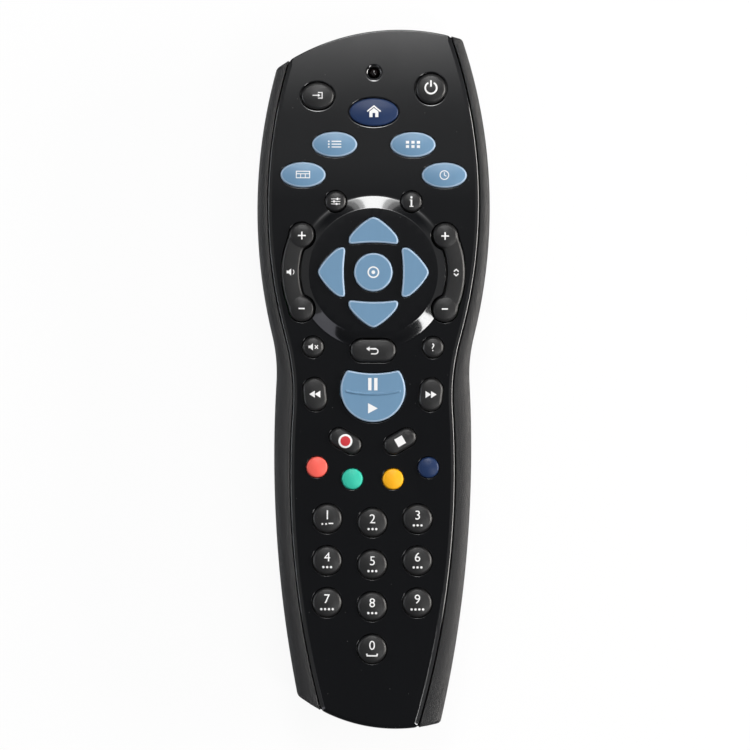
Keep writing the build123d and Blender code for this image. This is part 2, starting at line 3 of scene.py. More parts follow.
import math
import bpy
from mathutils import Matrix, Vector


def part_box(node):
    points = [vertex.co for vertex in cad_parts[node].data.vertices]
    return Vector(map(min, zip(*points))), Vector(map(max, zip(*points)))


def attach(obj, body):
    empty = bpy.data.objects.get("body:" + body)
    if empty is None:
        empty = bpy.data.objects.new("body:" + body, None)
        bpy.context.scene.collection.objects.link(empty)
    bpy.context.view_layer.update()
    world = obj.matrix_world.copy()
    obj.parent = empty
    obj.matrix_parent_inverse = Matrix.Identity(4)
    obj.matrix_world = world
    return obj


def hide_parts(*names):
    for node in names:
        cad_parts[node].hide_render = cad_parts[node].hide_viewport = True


bl_info = {
    "name": "Television remote control",
    "version": (1, 0, 0),
    "blender": (4, 5, 0),
    "location": "3D View > Sidebar > Remote",
    "description": "Builds the skins, key caps, printed marks and finishes of a remote control",
    "category": "Add Mesh",
}

import bmesh
import bpy
import numpy as np
from bpy.props import FloatProperty, FloatVectorProperty, PointerProperty
from mathutils import Matrix, Vector
from mathutils.geometry import delaunay_2d_cdt

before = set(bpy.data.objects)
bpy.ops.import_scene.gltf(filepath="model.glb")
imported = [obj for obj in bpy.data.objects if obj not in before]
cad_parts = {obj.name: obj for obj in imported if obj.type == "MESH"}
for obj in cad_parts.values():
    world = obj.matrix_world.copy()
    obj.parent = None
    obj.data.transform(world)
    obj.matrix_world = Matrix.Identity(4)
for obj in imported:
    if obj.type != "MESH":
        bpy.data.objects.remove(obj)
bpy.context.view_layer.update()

MM = 0.001
ROOT = "case"
WHITE = (1.0, 1.0, 1.0, 1.0)


def length(name, text, value):
    """A length of the remote that a user may change, in metres."""
    return FloatProperty(name=name, description=text, default=value, unit="LENGTH", precision=5)


def colour(name, text, value):
    """A linear base colour that a user may change."""
    return FloatVectorProperty(
        name=name, description=text, default=value, size=3, subtype="COLOR", min=0.0, max=1.0
    )


def share(name, text, value):
    """A plain number between nought and one."""
    return FloatProperty(name=name, description=text, default=value, min=0.0, max=1.0, subtype="FACTOR")


class RemoteSizes(bpy.types.PropertyGroup):
    """Sizes of the housing, the face and the keys."""

    head_half: length("Head half width", "Half the housing's width at its head", 0.0349)
    head_y: length("Head place", "Where the head is widest", 0.051)
    head_radius: length("Head radius", "Radius of the housing's side at its head", 0.160)
    handle_half: length("Handle half width", "Half the housing's width at its handle", 0.0296)
    handle_y: length("Handle place", "Where the handle is widest", -0.022)
    handle_radius: length("Handle radius", "Radius of the housing's side at its handle", 0.370)
    waist_radius: length("Waist radius", "Radius of the housing's hollow waist", 0.047)
    face_head_half: length("Face head half width", "Half the face's width at its head", 0.0318)
    face_head_y: length("Face head place", "Where the face's head is widest", 0.0525)
    face_head_radius: length("Face head radius", "Radius of the face's side at its head", 0.151)
    face_handle_half: length("Face handle half width", "Half the face's width at its handle", 0.0248)
    face_handle_y: length("Face handle place", "Where the face's handle is widest", -0.028)
    face_handle_radius: length("Face handle radius", "Radius of the face's side at its handle", 0.275)
    face_waist_radius: length("Face waist radius", "Radius of the face's hollow waist", 0.065)
    nose_x: length("Nose centre", "Sideways place of the nose arc's centre", 0.0077)
    nose_radius: length("Nose radius", "Radius of the nose seen from above", 0.0635)
    nose_tip: length("Nose tip", "Foremost point of the nose", 0.105)
    tail_x: length("Tail centre", "Sideways place of the tail arc's centre", 0.007)
    tail_radius: length("Tail radius", "Radius of the tail seen from above", 0.048)
    tail_tip: length("Tail tip", "Rearmost point of the tail", -0.105)
    face_height: length("Face height", "Height of the flat of the face", 0.025)
    bend_start: length("Bend start", "Where the face starts to bend down", 0.054)
    bend_radius: length("Bend radius", "Radius of the face's bend", 0.470)
    skirt: length("Skirt depth", "How far the face's skirt reaches down", 0.006)
    seam: length("Seam", "Width of the seam between face and housing", 0.0003)
    belly_round: length("Belly round", "Round between back and sides", 0.008)
    end_round: length("End round", "Round between back and ends", 0.005)
    rail_round: length("Rail round", "Round along the top of the side rails", 0.0022)
    corner_round: length("Corner round", "Round of the upright corners", 0.0009)
    island_y: length("Island place", "Place of the navigation island", 0.032)
    island_top: length("Island top radius", "Radius of the island's flat top", 0.0193)
    island_foot: length("Island foot radius", "Radius where the island's flank runs out", 0.0231)
    island_rise: length("Island rise", "Height of the island over the face", 0.0013)
    key_rise: length("Key rise", "Height of a key cap over the face", 0.0010)
    key_gap: length("Key gap", "Gap round a key cap", 0.0003)
    rocker_gap: length("Rocker gap", "Gap round a rocking key", 0.0004)


class RemoteColours(bpy.types.PropertyGroup):
    """Base colours and finishes."""

    face: colour("Face", "Gloss black of the face", (0.0052, 0.0056, 0.0066))
    housing: colour("Housing", "Matt dark grey of the housing", (0.0078, 0.0078, 0.0085))
    key_dark: colour("Dark keys", "Satin black of the plain keys", (0.0055, 0.0055, 0.0059))
    key_light: colour("Light keys", "Light blue of the menu and arrow keys", (0.132, 0.257, 0.398))
    # Paler colour for the light keys' rims: a painted highlight along their rounded edges, not a colour of
    # the moulding
    key_rim: colour("Light key rims", "Paler rim moulded round the light keys", (0.32, 0.44, 0.58))
    key_navy: colour("Navy keys", "Dark blue of the home key and the blue key", (0.010, 0.028, 0.090))
    key_red: colour("Red key", "Red of the red key", (0.90, 0.125, 0.095))
    key_green: colour("Green key", "Green of the green key", (0.035, 0.52, 0.37))
    key_yellow: colour("Yellow key", "Amber of the yellow key", (0.94, 0.44, 0.008))
    ink: colour("Ink", "White of the printed marks", (0.82, 0.82, 0.82))
    mark_red: colour("Record mark", "Red of the record mark", (0.55, 0.02, 0.03))
    board: colour("Board", "Green lacquer of the circuit board", (0.02, 0.13, 0.045))
    rubber: colour("Rubber", "Grey of the keypad web", (0.05, 0.05, 0.055))
    metal: colour("Metal", "Nickel of contacts and screws", (0.62, 0.60, 0.56))
    film: colour("Cell film", "Dark film round the cells", (0.03, 0.032, 0.036))
    band: colour("Cell band", "Bright band at the cells' positive end", (0.62, 0.36, 0.12))
    face_gloss: share("Face roughness", "Roughness of the gloss face", 0.09)
    wear: share("Edge wear", "How far edges are rubbed lighter", 0.35)


def sizes():
    """The sizes in millimetres, by name."""
    group = bpy.context.scene.remote_sizes
    return {name: getattr(group, name) / MM for name in RemoteSizes.__annotations__}


# Lines and loops, in millimetres

CORNER_POINTS, BOW_POINTS, SHARP_TURN, MITRE = 6, 7, 20.0, 0.5


def heading(step):
    """Angle of a step from +X."""
    return math.atan2(step[1], step[0])


def arc(centre, radius, start, end, count):
    """Points on an arc between two angles in radians."""
    turn = np.linspace(start, end, count)
    return np.stack((centre[0] + radius * np.cos(turn), centre[1] + radius * np.sin(turn)), 1)


def ring(half_x, half_y=None, count=48, x=0.0, y=0.0):
    """A closed circle or ellipse, anticlockwise."""
    half_y = half_x if half_y is None else half_y
    turn = np.linspace(0.0, 2.0 * math.pi, count, endpoint=False)
    return np.stack((x + half_x * np.cos(turn), y + half_y * np.sin(turn)), 1)


def lattice(low, high, step):
    """Points at even steps over a rectangle."""
    across, along = np.meshgrid(*(np.arange(low[i] + step / 2, high[i], step) for i in (0, 1)))
    return np.stack((across.ravel(), along.ravel()), 1)


def spun(points, degrees):
    """Points turned about the origin."""
    turn = math.radians(degrees)
    matrix = np.array(((math.cos(turn), -math.sin(turn)), (math.sin(turn), math.cos(turn))))
    return np.asarray(points, float) @ matrix.T


def circle_cross(first, first_radius, second, second_radius, way=(1.0, 0.0)):
    """The crossing of two circles that lies further along a way."""
    first = np.array(first, float)
    between = np.array(second, float) - first
    distance = float(np.hypot(*between))
    along = (distance**2 + first_radius**2 - second_radius**2) / (2.0 * distance)
    across = math.sqrt(max(0.0, first_radius**2 - along**2))
    middle = first + between * along / distance
    step = np.array((-between[1], between[0])) * across / distance
    return max((middle + step, middle - step), key=lambda point: float(point @ way))


def bow(first, corner, last, count):
    """Points of a smooth bow that would meet at a corner."""
    t = np.linspace(0.0, 1.0, count)[:, None]
    return (1 - t) ** 2 * first + 2 * t * (1 - t) * corner + t**2 * last


def soft_corner(before, corner, after, cut):
    """Points of a round corner that starts and ends a cut away from the sharp one."""
    to_before = (before - corner) / np.hypot(*(before - corner))
    to_after = (after - corner) / np.hypot(*(after - corner))
    return bow(corner + to_before * cut, corner, corner + to_after * cut, CORNER_POINTS)


def right_of(ahead):
    """Unit vectors to the right of some steps."""
    out = np.stack((ahead[:, 1], -ahead[:, 0]), 1)
    return out / np.maximum(np.hypot(out[:, 0], out[:, 1]), 1e-9)[:, None]


def offset(loop, distance):
    """A closed anticlockwise loop moved outwards by a distance."""
    out = right_of(np.roll(loop, -1, 0) - loop)
    both = out + np.roll(out, 1, 0)
    spread = np.maximum((both**2).sum(1) / 2.0, MITRE)
    return loop + both / spread[:, None] * distance


def outward(loop):
    """Unit normals of an anticlockwise loop, pointing out of it."""
    return right_of(np.roll(loop, -1, 0) - np.roll(loop, 1, 0))


def walked(loop):
    """The way along a closed loop up to each point, and a function from it to places."""
    closed = np.concatenate((loop, loop[:1]))
    ways = np.concatenate(([0.0], np.cumsum(np.hypot(*np.diff(closed, axis=0).T))))
    return ways, lambda way: np.stack([np.interp(way, ways, closed[:, i]) for i in (0, 1)], -1)


def soften(loop, cut):
    """The loop with its sharp corners rounded, starting a cut before each."""
    ways, at = walked(loop)
    total = ways[-1]
    ahead = np.roll(loop, -1, 0) - loop
    course = np.arctan2(ahead[:, 1], ahead[:, 0])
    turn = (course - np.roll(course, 1) + math.pi) % (2 * math.pi) - math.pi
    corners = np.flatnonzero(np.abs(turn) > math.radians(SHARP_TURN))
    made = []
    for index, point in enumerate(loop):
        if index in corners:
            first, last = at((ways[index] - cut) % total), at((ways[index] + cut) % total)
            made.extend(bow(first, point, last, BOW_POINTS))
        else:
            away = np.abs(ways[index] - ways[corners])
            if np.minimum(away, total - away).min() > cut + 1e-6:
                made.append(point)
    return np.array(made)


def evened(loop, step, passes):
    """The loop at even steps, its corners rounded by averaging neighbours."""
    ways, at = walked(loop)
    made = at(np.linspace(0.0, ways[-1], int(ways[-1] / step), endpoint=False))
    for _ in range(passes):
        made = 0.25 * np.roll(made, 1, 0) + 0.5 * made + 0.25 * np.roll(made, -1, 0)
    return made


def inside(points, loop):
    """Which points lie inside a loop."""
    x, y = points[:, 0][:, None], points[:, 1][:, None]
    x0, y0 = loop[:, 0][None], loop[:, 1][None]
    x1, y1 = np.roll(loop[:, 0], -1)[None], np.roll(loop[:, 1], -1)[None]
    spans = (y0 > y) != (y1 > y)
    rise = np.where(y1 == y0, 1e-12, y1 - y0)
    return ((spans & (x < x0 + (y - y0) * (x1 - x0) / rise)).sum(1) % 2).astype(bool)


def apart(points, loop):
    """Distance from each point to a loop."""
    start, ahead = loop[None], (np.roll(loop, -1, 0) - loop)[None]
    along = ((points[:, None] - start) * ahead).sum(2) / np.maximum((ahead**2).sum(2), 1e-12)
    nearest = start + ahead * np.clip(along, 0.0, 1.0)[:, :, None]
    return np.sqrt(((points[:, None] - nearest) ** 2).sum(2)).min(1)


# Plan and surface of the remote

END_POINTS, END_CUT = 26, 2.0
ISLAND_FLANK = 1.35
ISLAND_BLEND = 0.05


class Plan:
    """One closed plan outline: two side curves between the nose arc and the tail arc."""

    def __init__(self, prefix=""):
        s = sizes()
        self.head, self.handle = (
            [s[f"{prefix}{part}_{size}"] for size in ("half", "y", "radius")] for part in ("head", "handle")
        )
        self.waist = s[prefix + "waist_radius"]
        self.nose = (s["nose_x"], s["nose_tip"] - s["nose_radius"], s["nose_radius"])
        self.tail = (s["tail_x"], s["tail_tip"] + s["tail_radius"], s["tail_radius"])

    def side(self, way, inset, end_inset):
        """Side curve from tail to nose, drawn in by inset and cut by the ends."""
        head = np.array((self.head[0] - self.head[2], self.head[1]))
        handle = np.array((self.handle[0] - self.handle[2], self.handle[1]))
        reach_low = self.handle[2] - inset
        reach_high = self.head[2] - inset
        waist = circle_cross(handle, self.handle[2] + self.waist, head, self.head[2] + self.waist)
        nose = (way * self.nose[0], self.nose[1])
        tail = (way * self.tail[0], self.tail[1])
        top = circle_cross(head, reach_high, nose, self.nose[2] - end_inset, (0.0, 1.0))
        low = circle_cross(handle, reach_low, tail, self.tail[2] - end_inset, (0.0, -1.0))
        hollow = [heading(end - waist) % (2.0 * math.pi) for end in (handle, head)]
        parts = (
            arc(handle, reach_low, heading(low - handle), heading(waist - handle), 26)[:-1],
            arc(waist, self.waist + inset, *hollow, 10)[:-1],
            arc(head, reach_high, heading(waist - head), heading(top - head), 24),
        )
        return np.concatenate(parts) * (way, 1.0)

    def end(self, sign, places, end_inset):
        """Points on the nose (sign 1) or tail (sign -1) arc at some x."""
        x, y, radius = self.nose if sign > 0 else self.tail
        places = np.asarray(places, float)
        reach = np.sqrt((radius - end_inset) ** 2 - (places - x) ** 2)
        return np.stack((places, y + sign * reach), 1)

    def loop(self, inset, end_inset, corner, stops=None):
        """Closed outline, anticlockwise from the tail, with how far each point belongs to a side."""
        right, left = (self.side(way, inset, end_inset) for way in (1.0, -1.0))
        if stops is None:
            cut = END_CUT * corner
            stops = {
                "start": [],
                "nose": np.linspace(right[-1][0] - cut, left[-1][0] + cut, END_POINTS),
                "tail": np.linspace(left[0][0] + cut, right[0][0] - cut, END_POINTS),
            }
        else:
            full_right, full_left = (self.side(way, 0.0, 0.0) for way in (1.0, -1.0))

            def drawn_in(x, end):
                line, full = (right, full_right) if x > 0 else (left, full_left)
                return x * (line[end][0] / full[end][0])

            stops = {
                name: [drawn_in(x, -1 if name == "nose" else 0) for x in places]
                for name, places in stops.items()
            }
        nose = self.end(1.0, stops["nose"], end_inset)
        tail, starts = (self.end(-1.0, stops[name], end_inset) for name in ("tail", "start"))
        before = starts[-1] if len(starts) else tail[-1]
        parts = [
            (starts, (0.0, 0.0)),
            (soft_corner(before, right[0], right[1], corner), (0.0, 1.0)),
            (right[1:-1], (1.0, 1.0)),
            (soft_corner(right[-2], right[-1], nose[0], corner), (1.0, 0.0)),
            (nose, (0.0, 0.0)),
            (soft_corner(nose[-1], left[-1], left[-2], corner), (0.0, 1.0)),
            (left[::-1][1:-1], (1.0, 1.0)),
            (soft_corner(left[1], left[0], tail[0], corner), (1.0, 0.0)),
            (tail, (0.0, 0.0)),
        ]
        points = np.concatenate([part for part, _ in parts])
        belong = np.concatenate([np.linspace(*ends, len(part)) for part, ends in parts])
        return points, belong


def face_top(y):
    """Height of the face surface, without the island."""
    s = sizes()
    over = np.maximum(0.0, np.asarray(y, float) - s["bend_start"])
    return s["face_height"] - (s["bend_radius"] - np.sqrt(s["bend_radius"] ** 2 - over**2))


def face_surface(points):
    """Height of the face with its raised island and the crisp edge of the island's top."""
    s = sizes()
    rise = s["island_rise"]
    away = np.hypot(points[:, 0], points[:, 1] - s["island_y"])
    climb = np.maximum(0.0, (s["island_foot"] - away) / (s["island_foot"] - s["island_top"]))
    flank = rise * climb**ISLAND_FLANK
    meet = np.clip(0.5 + 0.5 * (rise - flank) / ISLAND_BLEND, 0.0, 1.0)
    over = rise * (1 - meet) + flank * meet - ISLAND_BLEND * meet * (1 - meet)
    return face_top(points[:, 1]) + np.maximum(over, 0.0)


def key_place(x, y):
    """Matrix of a key's own frame on the face."""
    s = sizes()
    lean = math.asin(max(0.0, y - s["bend_start"]) / s["bend_radius"])
    return Matrix.Translation((x, y, float(face_top(y)))) @ Matrix.Rotation(-lean, 4, "X")


# Skins

FLIPPED = Matrix.Diagonal((1.0, 1.0, -1.0, 1.0))
LOOSE_MARGIN, EXTRA_MARGIN, MERGE = 0.3, 0.06, 1e-5


def unit(vectors):
    """Vectors of length one."""
    return vectors / np.maximum(np.linalg.norm(vectors, axis=1), 1e-12)[:, None]


def upright(points, height):
    """Plan points at some height."""
    return np.column_stack((points, np.broadcast_to(height, len(points))))


def surface_normals(points, crown):
    """Upward normals of a height field."""
    step = 0.01
    slopes = [
        -(crown(points + move) - crown(points - move)) / (2 * step) for move in ((step, 0.0), (0.0, step))
    ]
    return unit(np.stack((*slopes, np.ones(len(points))), 1))


def level_crown(points):
    """Height of a flat sheet."""
    return np.zeros(len(points))


class Skin:
    """Points, normals and faces of one piece, gathered in millimetres."""

    def __init__(self):
        self.points, self.normals, self.faces, self.slots = [], [], [], []
        self.count = 0

    def add(self, points, normals, faces, slot=0, place=None):
        """Faces with one material slot, or with a slot each."""
        points, normals = np.asarray(points, float), np.asarray(normals, float)
        if place is not None:
            matrix = np.array(place)
            points = points @ matrix[:3, :3].T + matrix[:3, 3]
            normals = normals @ matrix[:3, :3].T
        self.points.append(points)
        self.normals.append(normals)
        self.faces += [[int(i) + self.count for i in face] for face in faces]
        self.slots += slot if isinstance(slot, list) else [slot] * len(faces)
        self.count += len(points)

    def strip(self, rings, normals, closed=False, slot=0, skip=None, place=None):
        """Quads between rings of equal length. Faces for which skip is true are left out."""
        rings, normals = np.asarray(rings, float), np.asarray(normals, float)
        rows, columns = rings.shape[:2]
        faces = []
        for row in range(rows - 1):
            for column in range(columns if closed else columns - 1):
                after = (column + 1) % columns
                quad = [(row, column), (row, after), (row + 1, after), (row + 1, column)]
                if skip and skip(np.mean([rings[i] for i in quad], 0)):
                    continue
                faces.append([i * columns + j for i, j in quad])
        self.add(rings.reshape(-1, 3), normals.reshape(-1, 3), faces, slot, place)

    def sheet(
        self, outline, profile, holes=(), crown=level_crown, step=3.0, extra=None, place=None, rim_slot=0
    ):
        """A sheet over a plan with holes. A profile lists inset, drop and lean from the flat down."""
        rims = [(outline, profile, -1.0)] + [(loop, rim, 1.0) for loop, rim in holes]
        rings = [offset(loop, way * rim[0][0]) for loop, rim, way in rims]
        loose = lattice(rings[0].min(0), rings[0].max(0), step)
        margin = np.full(len(loose), LOOSE_MARGIN * step)
        if extra is not None:
            loose = np.concatenate((loose, extra))
            margin = np.concatenate((margin, np.full(len(extra), EXTRA_MARGIN)))
        keep = inside(loose, rings[0]) & (apart(loose, rings[0]) > margin)
        for hole in rings[1:]:
            near = np.flatnonzero(keep)
            keep[near] = ~inside(loose[near], hole) & (apart(loose[near], hole) > margin[near])
        edges, start = [], 0
        for loop in rings:
            size = len(loop)
            edges += [(start + i, start + (i + 1) % size) for i in range(size)]
            start += size
        corners = [Vector(point) for point in np.concatenate(rings + [loose[keep]]).tolist()]
        result = delaunay_2d_cdt(corners, edges, [], 0, MERGE)
        flat = np.array([tuple(point) for point in result[0]])
        faces = np.array([face for face in result[2] if len(face) == 3])
        middles = flat[faces].mean(1)
        keep = inside(middles, rings[0])
        for hole in rings[1:]:
            keep &= ~inside(middles, hole)
        where = {old: new for new, olds in enumerate(result[3]) for old in olds}
        points, normals = [upright(flat, crown(flat))], [surface_normals(flat, crown)]
        polygons = faces[keep].tolist()
        slots = [0] * len(polygons)
        count, start = len(flat), 0
        for loop, rim, way in rims:
            size = len(loop)
            previous = [where[start + i] for i in range(size)]
            start += size
            sideways = upright(outward(loop) * -way, 0.0)
            for inset, drop, lean in rim[1:]:
                moved = offset(loop, way * inset)
                turn = math.radians(lean)
                points.append(upright(moved, crown(moved) - drop))
                up = surface_normals(moved, crown)
                normals.append(unit(up * math.cos(turn) + sideways * math.sin(turn)))
                current = list(range(count, count + size))
                count += size
                for i in range(size):
                    j = (i + 1) % size
                    polygons.append([previous[i], previous[j], current[j], current[i]])
                slots += [rim_slot] * size
                previous = current
        self.add(np.concatenate(points), np.concatenate(normals), polygons, slots, place)

    def lathe(self, profile, place, count, slots=None):
        """Turned form about its own Z. The profile lists radius, height and lean of the normal."""
        rings, normals = [], []
        for radius, height, lean in profile:
            turn = math.radians(lean)
            rings.append(upright(ring(radius, count=count), height))
            normals.append(upright(ring(math.cos(turn), count=count), math.sin(turn)))
        for i in range(len(rings) - 1):
            slot = slots[i] if slots else 0
            self.strip(rings[i : i + 2], normals[i : i + 2], True, slot, None, place)

    def carry(self, node, keep):
        """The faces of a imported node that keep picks, as they are."""
        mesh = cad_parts[node].data
        points = np.array([v.co for v in mesh.vertices], float) / MM
        corners = points[np.array([face.vertices[:] for face in mesh.polygons])]
        normals = unit(np.cross(corners[:, 1] - corners[:, 0], corners[:, 2] - corners[:, 0]))
        chosen = np.flatnonzero(keep(corners, normals))
        corners = corners[chosen].reshape(-1, 3)
        normals = np.repeat(normals[chosen], 3, 0)
        self.add(corners, normals, np.arange(len(corners)).reshape(-1, 3).tolist())

    def make(self, name, body, materials, nodes, slot):
        """The finished object, riding on a body and standing for some nodes."""
        points = np.concatenate(self.points)
        normals = unit(np.concatenate(self.normals))
        faces, slots = [], []
        for face, index in zip(self.faces, self.slots):
            face = list(dict.fromkeys(face))
            if len(face) < 3:
                continue
            arms = points[face[1:]] - points[face[0]]
            facing = np.cross(arms[:-1], arms[1:]).sum(0)
            if float(facing @ normals[face].sum(0)) < 0.0:
                face.reverse()
            faces.append(face)
            slots.append(index)
        mesh = bpy.data.meshes.new(name)
        mesh.from_pydata((points * MM).tolist(), [], faces)
        for material in materials:
            mesh.materials.append(material)
        mesh.polygons.foreach_set("material_index", slots)
        mesh.polygons.foreach_set("use_smooth", [True] * len(faces))
        mesh.update()
        mesh.normals_split_custom_set_from_vertices(normals.tolist())
        made = bpy.data.objects.new(name, mesh)
        bpy.context.scene.collection.objects.link(made)
        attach(made, body)
        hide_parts(*nodes)


def rounded(radius, wall, steps=4):
    """Profile of an edge with a plain round and a wall below it."""
    made = [(radius, 0.0, 0.0)]
    for index in range(1, steps + 1):
        lean = 90.0 * index / steps
        turn = math.radians(lean)
        made.append((radius * (1 - math.sin(turn)), radius * (1 - math.cos(turn)), lean))
    return made + [(0.0, wall, 90.0)]


# Shader nodes and groups

PIT_SHARE, GRAIN_ROUGH = 0.6, 0.6
MARK_RANGE, STREAK_SCALE = (0.35, 0.65), (900.0, 90.0, 300.0)
EDGE_RANGE, BREAK_RANGE, BREAK_SCALE = (0.52, 0.62), (0.4, 0.6), 500.0
SPECK_SIZE, SPECK_FEW = (0.10, 0.04), (0.78, 0.82)


def fill(tree, kind, inputs=None, **settings):
    """A node with its settings and inputs; an input is a value or another node's socket."""
    made = tree.nodes.new(kind)
    for key, value in settings.items():
        setattr(made, key, value)
    for key, value in (inputs or {}).items():
        if isinstance(value, bpy.types.NodeSocket):
            tree.links.new(value, made.inputs[key])
        else:
            made.inputs[key].default_value = value
    return made


def maths(tree, operation, first, second=0.0, clamp=False):
    """The result of one sum."""
    inputs = {0: first, 1: second}
    return fill(tree, "ShaderNodeMath", inputs, operation=operation, use_clamp=clamp).outputs[0]


def ranged(tree, value, old, new=(0.0, 1.0)):
    """A value moved from one range to another and held in it."""
    ends = dict(zip(("From Min", "From Max", "To Min", "To Max"), (*old, *new)))
    return fill(tree, "ShaderNodeMapRange", {"Value": value, **ends}).outputs[0]


def noise(tree, where, scale, detail, **more):
    """A noise texture's value."""
    inputs = {"Vector": where, "Scale": scale, "Detail": detail, **more}
    return fill(tree, "ShaderNodeTexNoise", inputs).outputs[0]


def mixed(tree, factor, first, second):
    """A blend of two colours; each is a value or another node's socket."""
    made = tree.nodes.new("ShaderNodeMix")
    made.data_type = "RGBA"
    for socket, value in zip((made.inputs[0], made.inputs[6], made.inputs[7]), (factor, first, second)):
        if isinstance(value, bpy.types.NodeSocket):
            tree.links.new(value, socket)
        else:
            socket.default_value = (*value, 1.0)
    return made.outputs[2]


def moulded_grain(tree, where, given):
    """Fine grain: cells and noise at two scales, as a height."""
    pits = fill(tree, "ShaderNodeTexVoronoi", {"Vector": where, "Scale": given["Scale"]})
    fine = noise(tree, where, given["Scale"], 3.0, Roughness=GRAIN_ROUGH)
    return [maths(tree, "ADD", maths(tree, "MULTIPLY", pits.outputs["Distance"], PIT_SHARE), fine)]


def handling(tree, where, given):
    """Handling marks: a value that wanders between low and high, and faint rubbed streaks."""
    broad = noise(tree, where, given["Scale"], 4.0, Roughness=0.55, Distortion=0.6)
    stretch = fill(tree, "ShaderNodeMapping", {"Vector": where, "Scale": STREAK_SCALE})
    streaks = noise(tree, stretch.outputs[0], 1.0, 2.0)
    return [ranged(tree, broad, MARK_RANGE, (given["Low"], given["High"])), streaks]


def edge_wear(tree, where, given):
    """Mask of rubbed outer edges, broken up by noise."""
    sharp = fill(tree, "ShaderNodeNewGeometry").outputs["Pointiness"]
    broken = ranged(tree, noise(tree, where, BREAK_SCALE, 4.0), BREAK_RANGE)
    both = maths(tree, "MULTIPLY", ranged(tree, sharp, EDGE_RANGE), broken)
    return [maths(tree, "MULTIPLY", both, given["Amount"], True)]


def dust_specks(tree, where, given):
    """Mask of a few fine dust specks."""
    inputs = {"Vector": where, "Scale": given["Scale"], "Randomness": 1.0}
    cells = fill(tree, "ShaderNodeTexVoronoi", inputs).outputs
    dot, few = ranged(tree, cells["Distance"], SPECK_SIZE), ranged(tree, cells["Color"], SPECK_FEW)
    return [maths(tree, "MULTIPLY", maths(tree, "MULTIPLY", dot, few), given["Amount"])]


GROUPS = {
    "Moulded grain": ({"Scale": 3000.0}, ("Height",), moulded_grain),
    "Handling": ({"Scale": 60.0, "Low": 0.1, "High": 0.2}, ("Value", "Streaks"), handling),
    "Edge wear": ({"Amount": 0.35}, ("Mask",), edge_wear),
    "Dust specks": ({"Scale": 700.0, "Amount": 0.5}, ("Mask",), dust_specks),
}


def shared_group(name):
    """A shader group, laid out the first time that it is asked for."""
    if name in bpy.data.node_groups:
        return bpy.data.node_groups[name]
    inputs, outputs, lay = GROUPS[name]
    made = bpy.data.node_groups.new(name, "ShaderNodeTree")
    for label, value in inputs.items():
        socket = made.interface.new_socket(label, in_out="INPUT", socket_type="NodeSocketFloat")
        socket.default_value = value
    for label in outputs:
        made.interface.new_socket(label, in_out="OUTPUT", socket_type="NodeSocketFloat")
    source, sink = made.nodes.new("NodeGroupInput"), made.nodes.new("NodeGroupOutput")
    where = fill(made, "ShaderNodeTexCoord").outputs["Object"]
    for label, socket in zip(outputs, lay(made, where, source.outputs)):
        made.links.new(socket, sink.inputs[label])
    return made


def effect(tree, name, **inputs):
    """The outputs of a shader group in a material."""
    return fill(tree, "ShaderNodeGroup", inputs, node_tree=shared_group(name)).outputs


# Finishes. A name in place of a base colour, a roughness or a wear is one of RemoteColours

PLAIN = {
    "spread": 0.04, "grain": 3000.0, "bump": 0.0, "wear": 0.0, "wear_light": 2.5, "dust": 0.0,
    "IOR": 1.5, "Coat Weight": 0.0, "Metallic": 0.0, "tone": 0.12, "Specular IOR Level": 0.5,
}
CLEAR = {"spread": 0.03, "tone": 0.1, "IOR": 1.55}
CAP = {"rough": 0.38, "spread": 0.05, "grain": 5200.0, "bump": 0.000012, "wear": "wear", "tone": 0.04}
TINTED_CAP = {**CAP, "wear_light": 1.3, "Specular IOR Level": 0.3}
INK = {"rough": 0.5, "spread": 0.06, "grain": 9000.0, "bump": 0.000004, "tone": 0.03}
BARE_METAL = {"base": "metal", "spread": 0.1, "grain": 2500.0, "bump": 0.00001, "Metallic": 1.0}
RUBBED_METAL = {**BARE_METAL, "wear": 0.3, "wear_light": 1.2}
FILM = {"spread": 0.06, "grain": 1500.0, "bump": 0.000004, "wear": 0.1, "tone": 0.06}
RESIN = {"spread": 0.1, "grain": 5000.0, "bump": 0.00001}
